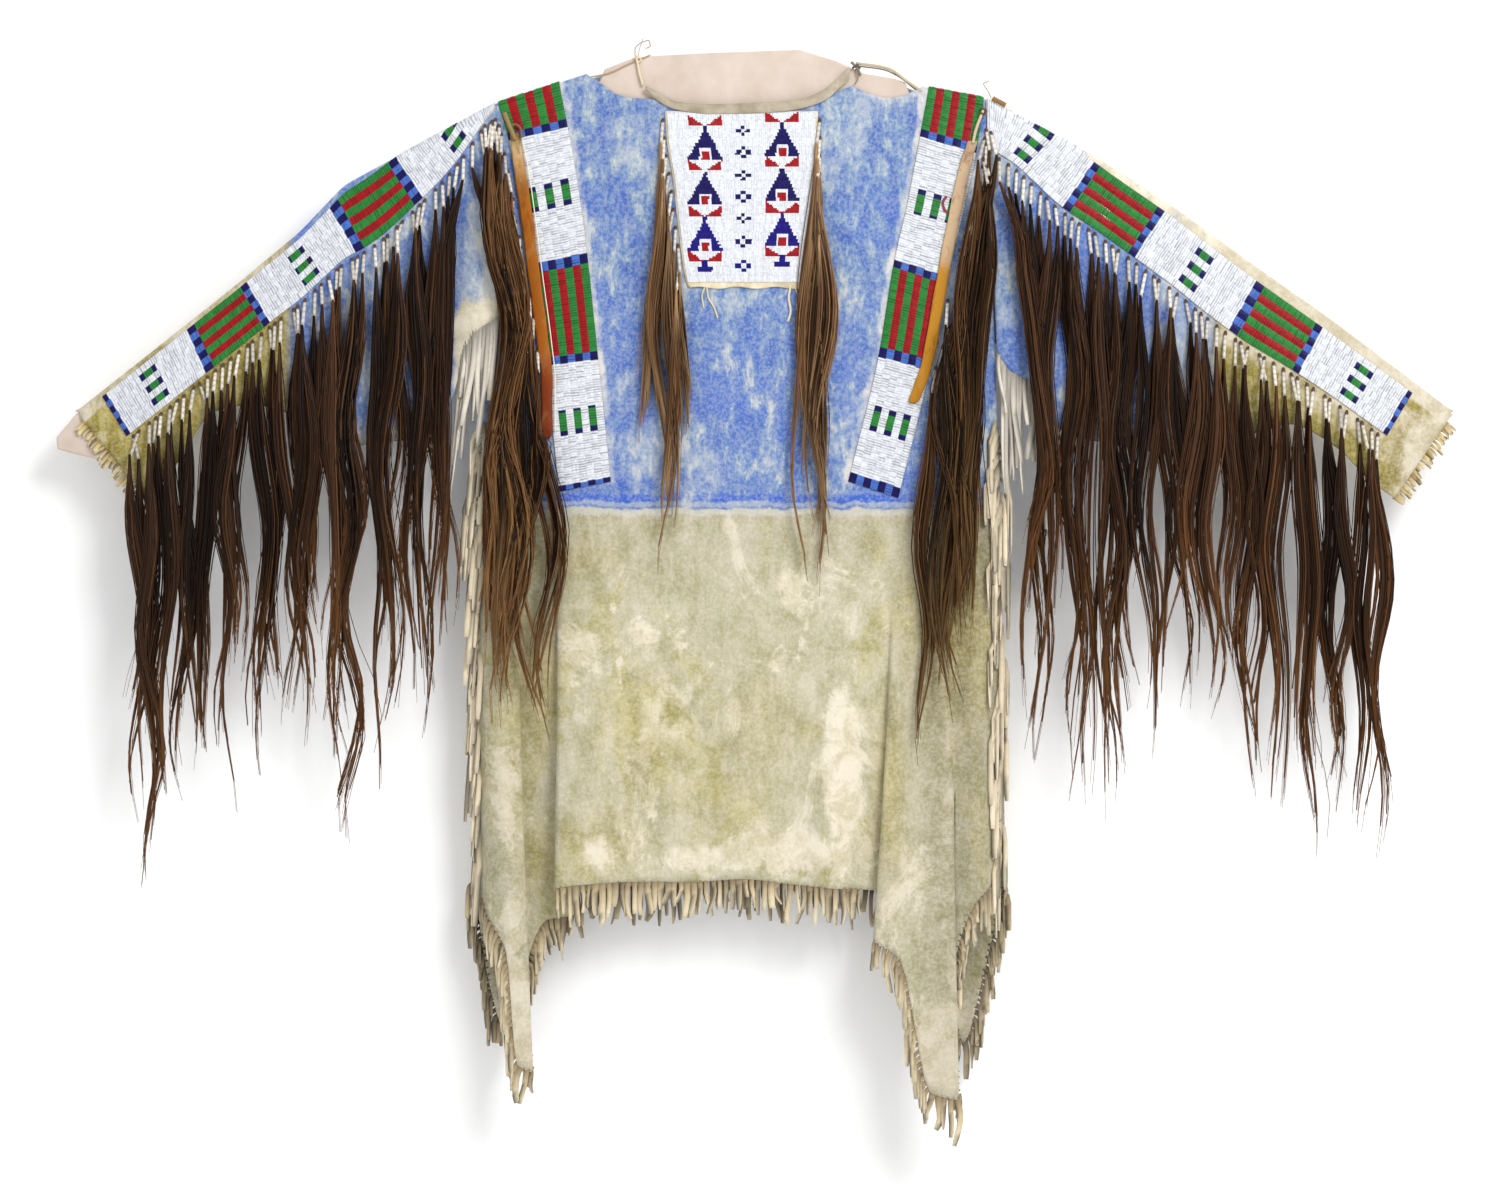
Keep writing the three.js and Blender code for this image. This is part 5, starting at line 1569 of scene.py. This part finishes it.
def strap(name, table, material):
    """A strap that is a little uneven and rounded at its foot."""
    t = np.linspace(0, length_of(table), 90)[:, None]
    row = row_at(table, t)
    past = ((t - length_of(table) + STRAP_END) / STRAP_END).clip(0, 1)
    end = np.sqrt(np.clip(1 - past ** 2, 0.08, 1))
    wide = end * np.interp(t / length_of(table), *STRAP_WIDTHS)
    wide = wide * (1 + 0.04 * np.sin(9 * t))
    grid = on_hide_at(row["x"] + np.linspace(-0.5, 0.5, 9)[None] * wide, row["z"], STRAP_OUT)
    band(name, grid, 0.5, 1.5, material, "hide_strap", ways_along(grid[:, 4])[-1] * MM)


# Stage, in metres

FRAME_MIDDLE = (0.0055, 0, -0.59565)
FRAME_WIDE = 1.65
LENS = 100.0
SENSOR = 36.0
WALL_Y = 0.058
FLOOR_Z = -1.40
FAR = 4.0
NEAR_Y = -6.0
TOP_Z = 3.0
SKY = 0.55


def stage_material(name, shade, glow=0.0):
    """White from the front and clear from behind."""
    look = Look(name, 1.0, shine=0.0)
    look.give(look.shader, {"Emission Color": (1, 1, 1, 1), "Emission Strength": glow,
                            "Base Color": (shade, shade, shade, 1)})
    mixed = look.wire("ShaderNodeMixShader", {
        0: look.wire("ShaderNodeNewGeometry", {}, "Backfacing"),
        1: Wire(look, look.shader.outputs[0]),
        2: look.wire("ShaderNodeBsdfTransparent", {})})
    look.give(look.tree.nodes["Material Output"], {"Surface": mixed})
    return look.material


def stage():
    back, low, near, top = WALL_Y / MM, FLOOR_Z / MM, NEAR_Y / MM, TOP_Z / MM
    far = FAR / MM
    one_face = [np.array([[0, 1, 2, 3]])]
    wall = add_mesh("wall", [(-far, back, low), (far, back, low), (far, back, top), (-far, back, top)],
                    one_face, stage_material("wall_white", 0.93, 0.07))
    floor = add_mesh("floor", [(-far, near, low), (far, near, low), (far, back, low), (-far, back, low)],
                     one_face, stage_material("floor_pale", 0.86))


def link(name, data, place):
    thing = bpy.data.objects.new(name, data)
    thing.location = place
    bpy.context.scene.collection.objects.link(thing)
    return thing


def lights():
    for name, place, size, power in (("key", (1.6, -3.0, 1.5), 1.5, 105.0),
                                     ("fill", (-2.2, -3.6, 0.3), 2.6, 20.0)):
        lamp = bpy.data.lights.new(name, "AREA")
        lamp.size = size
        lamp.energy = power
        thing = link(name, lamp, place)
        way = Vector(FRAME_MIDDLE) - thing.location
        thing.rotation_euler = way.to_track_quat("-Z", "Y").to_euler()
    world = bpy.data.worlds.new("soft_white")
    world.use_nodes = True
    sky = world.node_tree.nodes["Background"]
    sky.inputs["Color"].default_value = (1, 1, 1, 1)
    sky.inputs["Strength"].default_value = SKY
    bpy.context.scene.world = world


def camera():
    lens = bpy.data.cameras.new("camera")
    lens.lens = LENS
    lens.sensor_width = SENSOR
    thing = link("camera", lens, (FRAME_MIDDLE[0], -FRAME_WIDE * LENS / SENSOR, FRAME_MIDDLE[2]))
    thing.rotation_euler = (math.pi / 2, 0, 0)
    bpy.context.scene.camera = thing
    bpy.context.scene.view_settings.view_transform = "Standard"


# The whole


def build():
    camera()
    stage()
    lights()
    grids = panels(painted_hide())
    beads = toned("glass_beads", 0.42, 0.0, 0.16, 900, 0.06, 0.1, 0.0002)
    sleeve_strip("left", STRIP_SLEEVE_LEFT, SLEEVE_FIELDS_LEFT, beads, 61)
    sleeve_strip("right", STRIP_SLEEVE_RIGHT, SLEEVE_FIELDS_RIGHT, beads, 62)
    strips = [body_strip("left", STRIP_BODY_LEFT, BODY_FIELDS_LEFT, beads, 63),
              body_strip("right", STRIP_BODY_RIGHT, BODY_FIELDS_RIGHT, beads, 64)]
    bib(beads, plain_hide("edge_hide", 0.8, 60, 400, 0.35,
                          (0.36, "#c3b08c"), (0.5, "#dccbab"), (0.65, "#ece0c8")))
    neck_trim(plain_hide("trim_hide", 0.7, 40, 380, 0.4,
                         (0.36, "#94886f"), (0.5, "#ab9f8a"), (0.65, "#bbaf9c")))
    strap("strap_left", STRAP_LEFT, strap_leather(
        "strap_orange", -0.09, -0.43, (0.0, "#86642e"), (0.07, "#c2a578"), (0.13, "#a86f2c"),
        (0.2, "#a05c0a"), (0.72, "#a05608"), (0.8, "#84360a"), (0.95, "#7a300a")))
    strap("strap_right", STRAP_RIGHT, strap_leather(
        "strap_amber", -0.10, -0.39, (0.0, "#a88a6c"), (0.1, "#c4a889"), (0.42, "#c6a884"),
        (0.5, "#b98222"), (0.95, "#b0760e")))

    # The hair hangs in front of the hides and of the body strips
    share, across = np.linspace(0, 1, 300)[:, None], np.linspace(0, 1, 12)[None]
    surfaces = [at(across, share, np.full((300, 12), 6.0)) for at in strips]
    all_hair(depth_map([g[g[..., 1] < 0] for g in [*grids.values(), *surfaces]]))
    all_fringe(grids, toned("fringe_hide", 0.85, 0.2, 0.5, 220, 0.18, 0.4, 0.0008))
    ties(toned("thong_hide", 0.6, 0.1, 0.5, 400, 0.15, 0.3))
    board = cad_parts["board"]
    board.data.materials.clear()
    board.data.materials.append(board_cloth())


build()
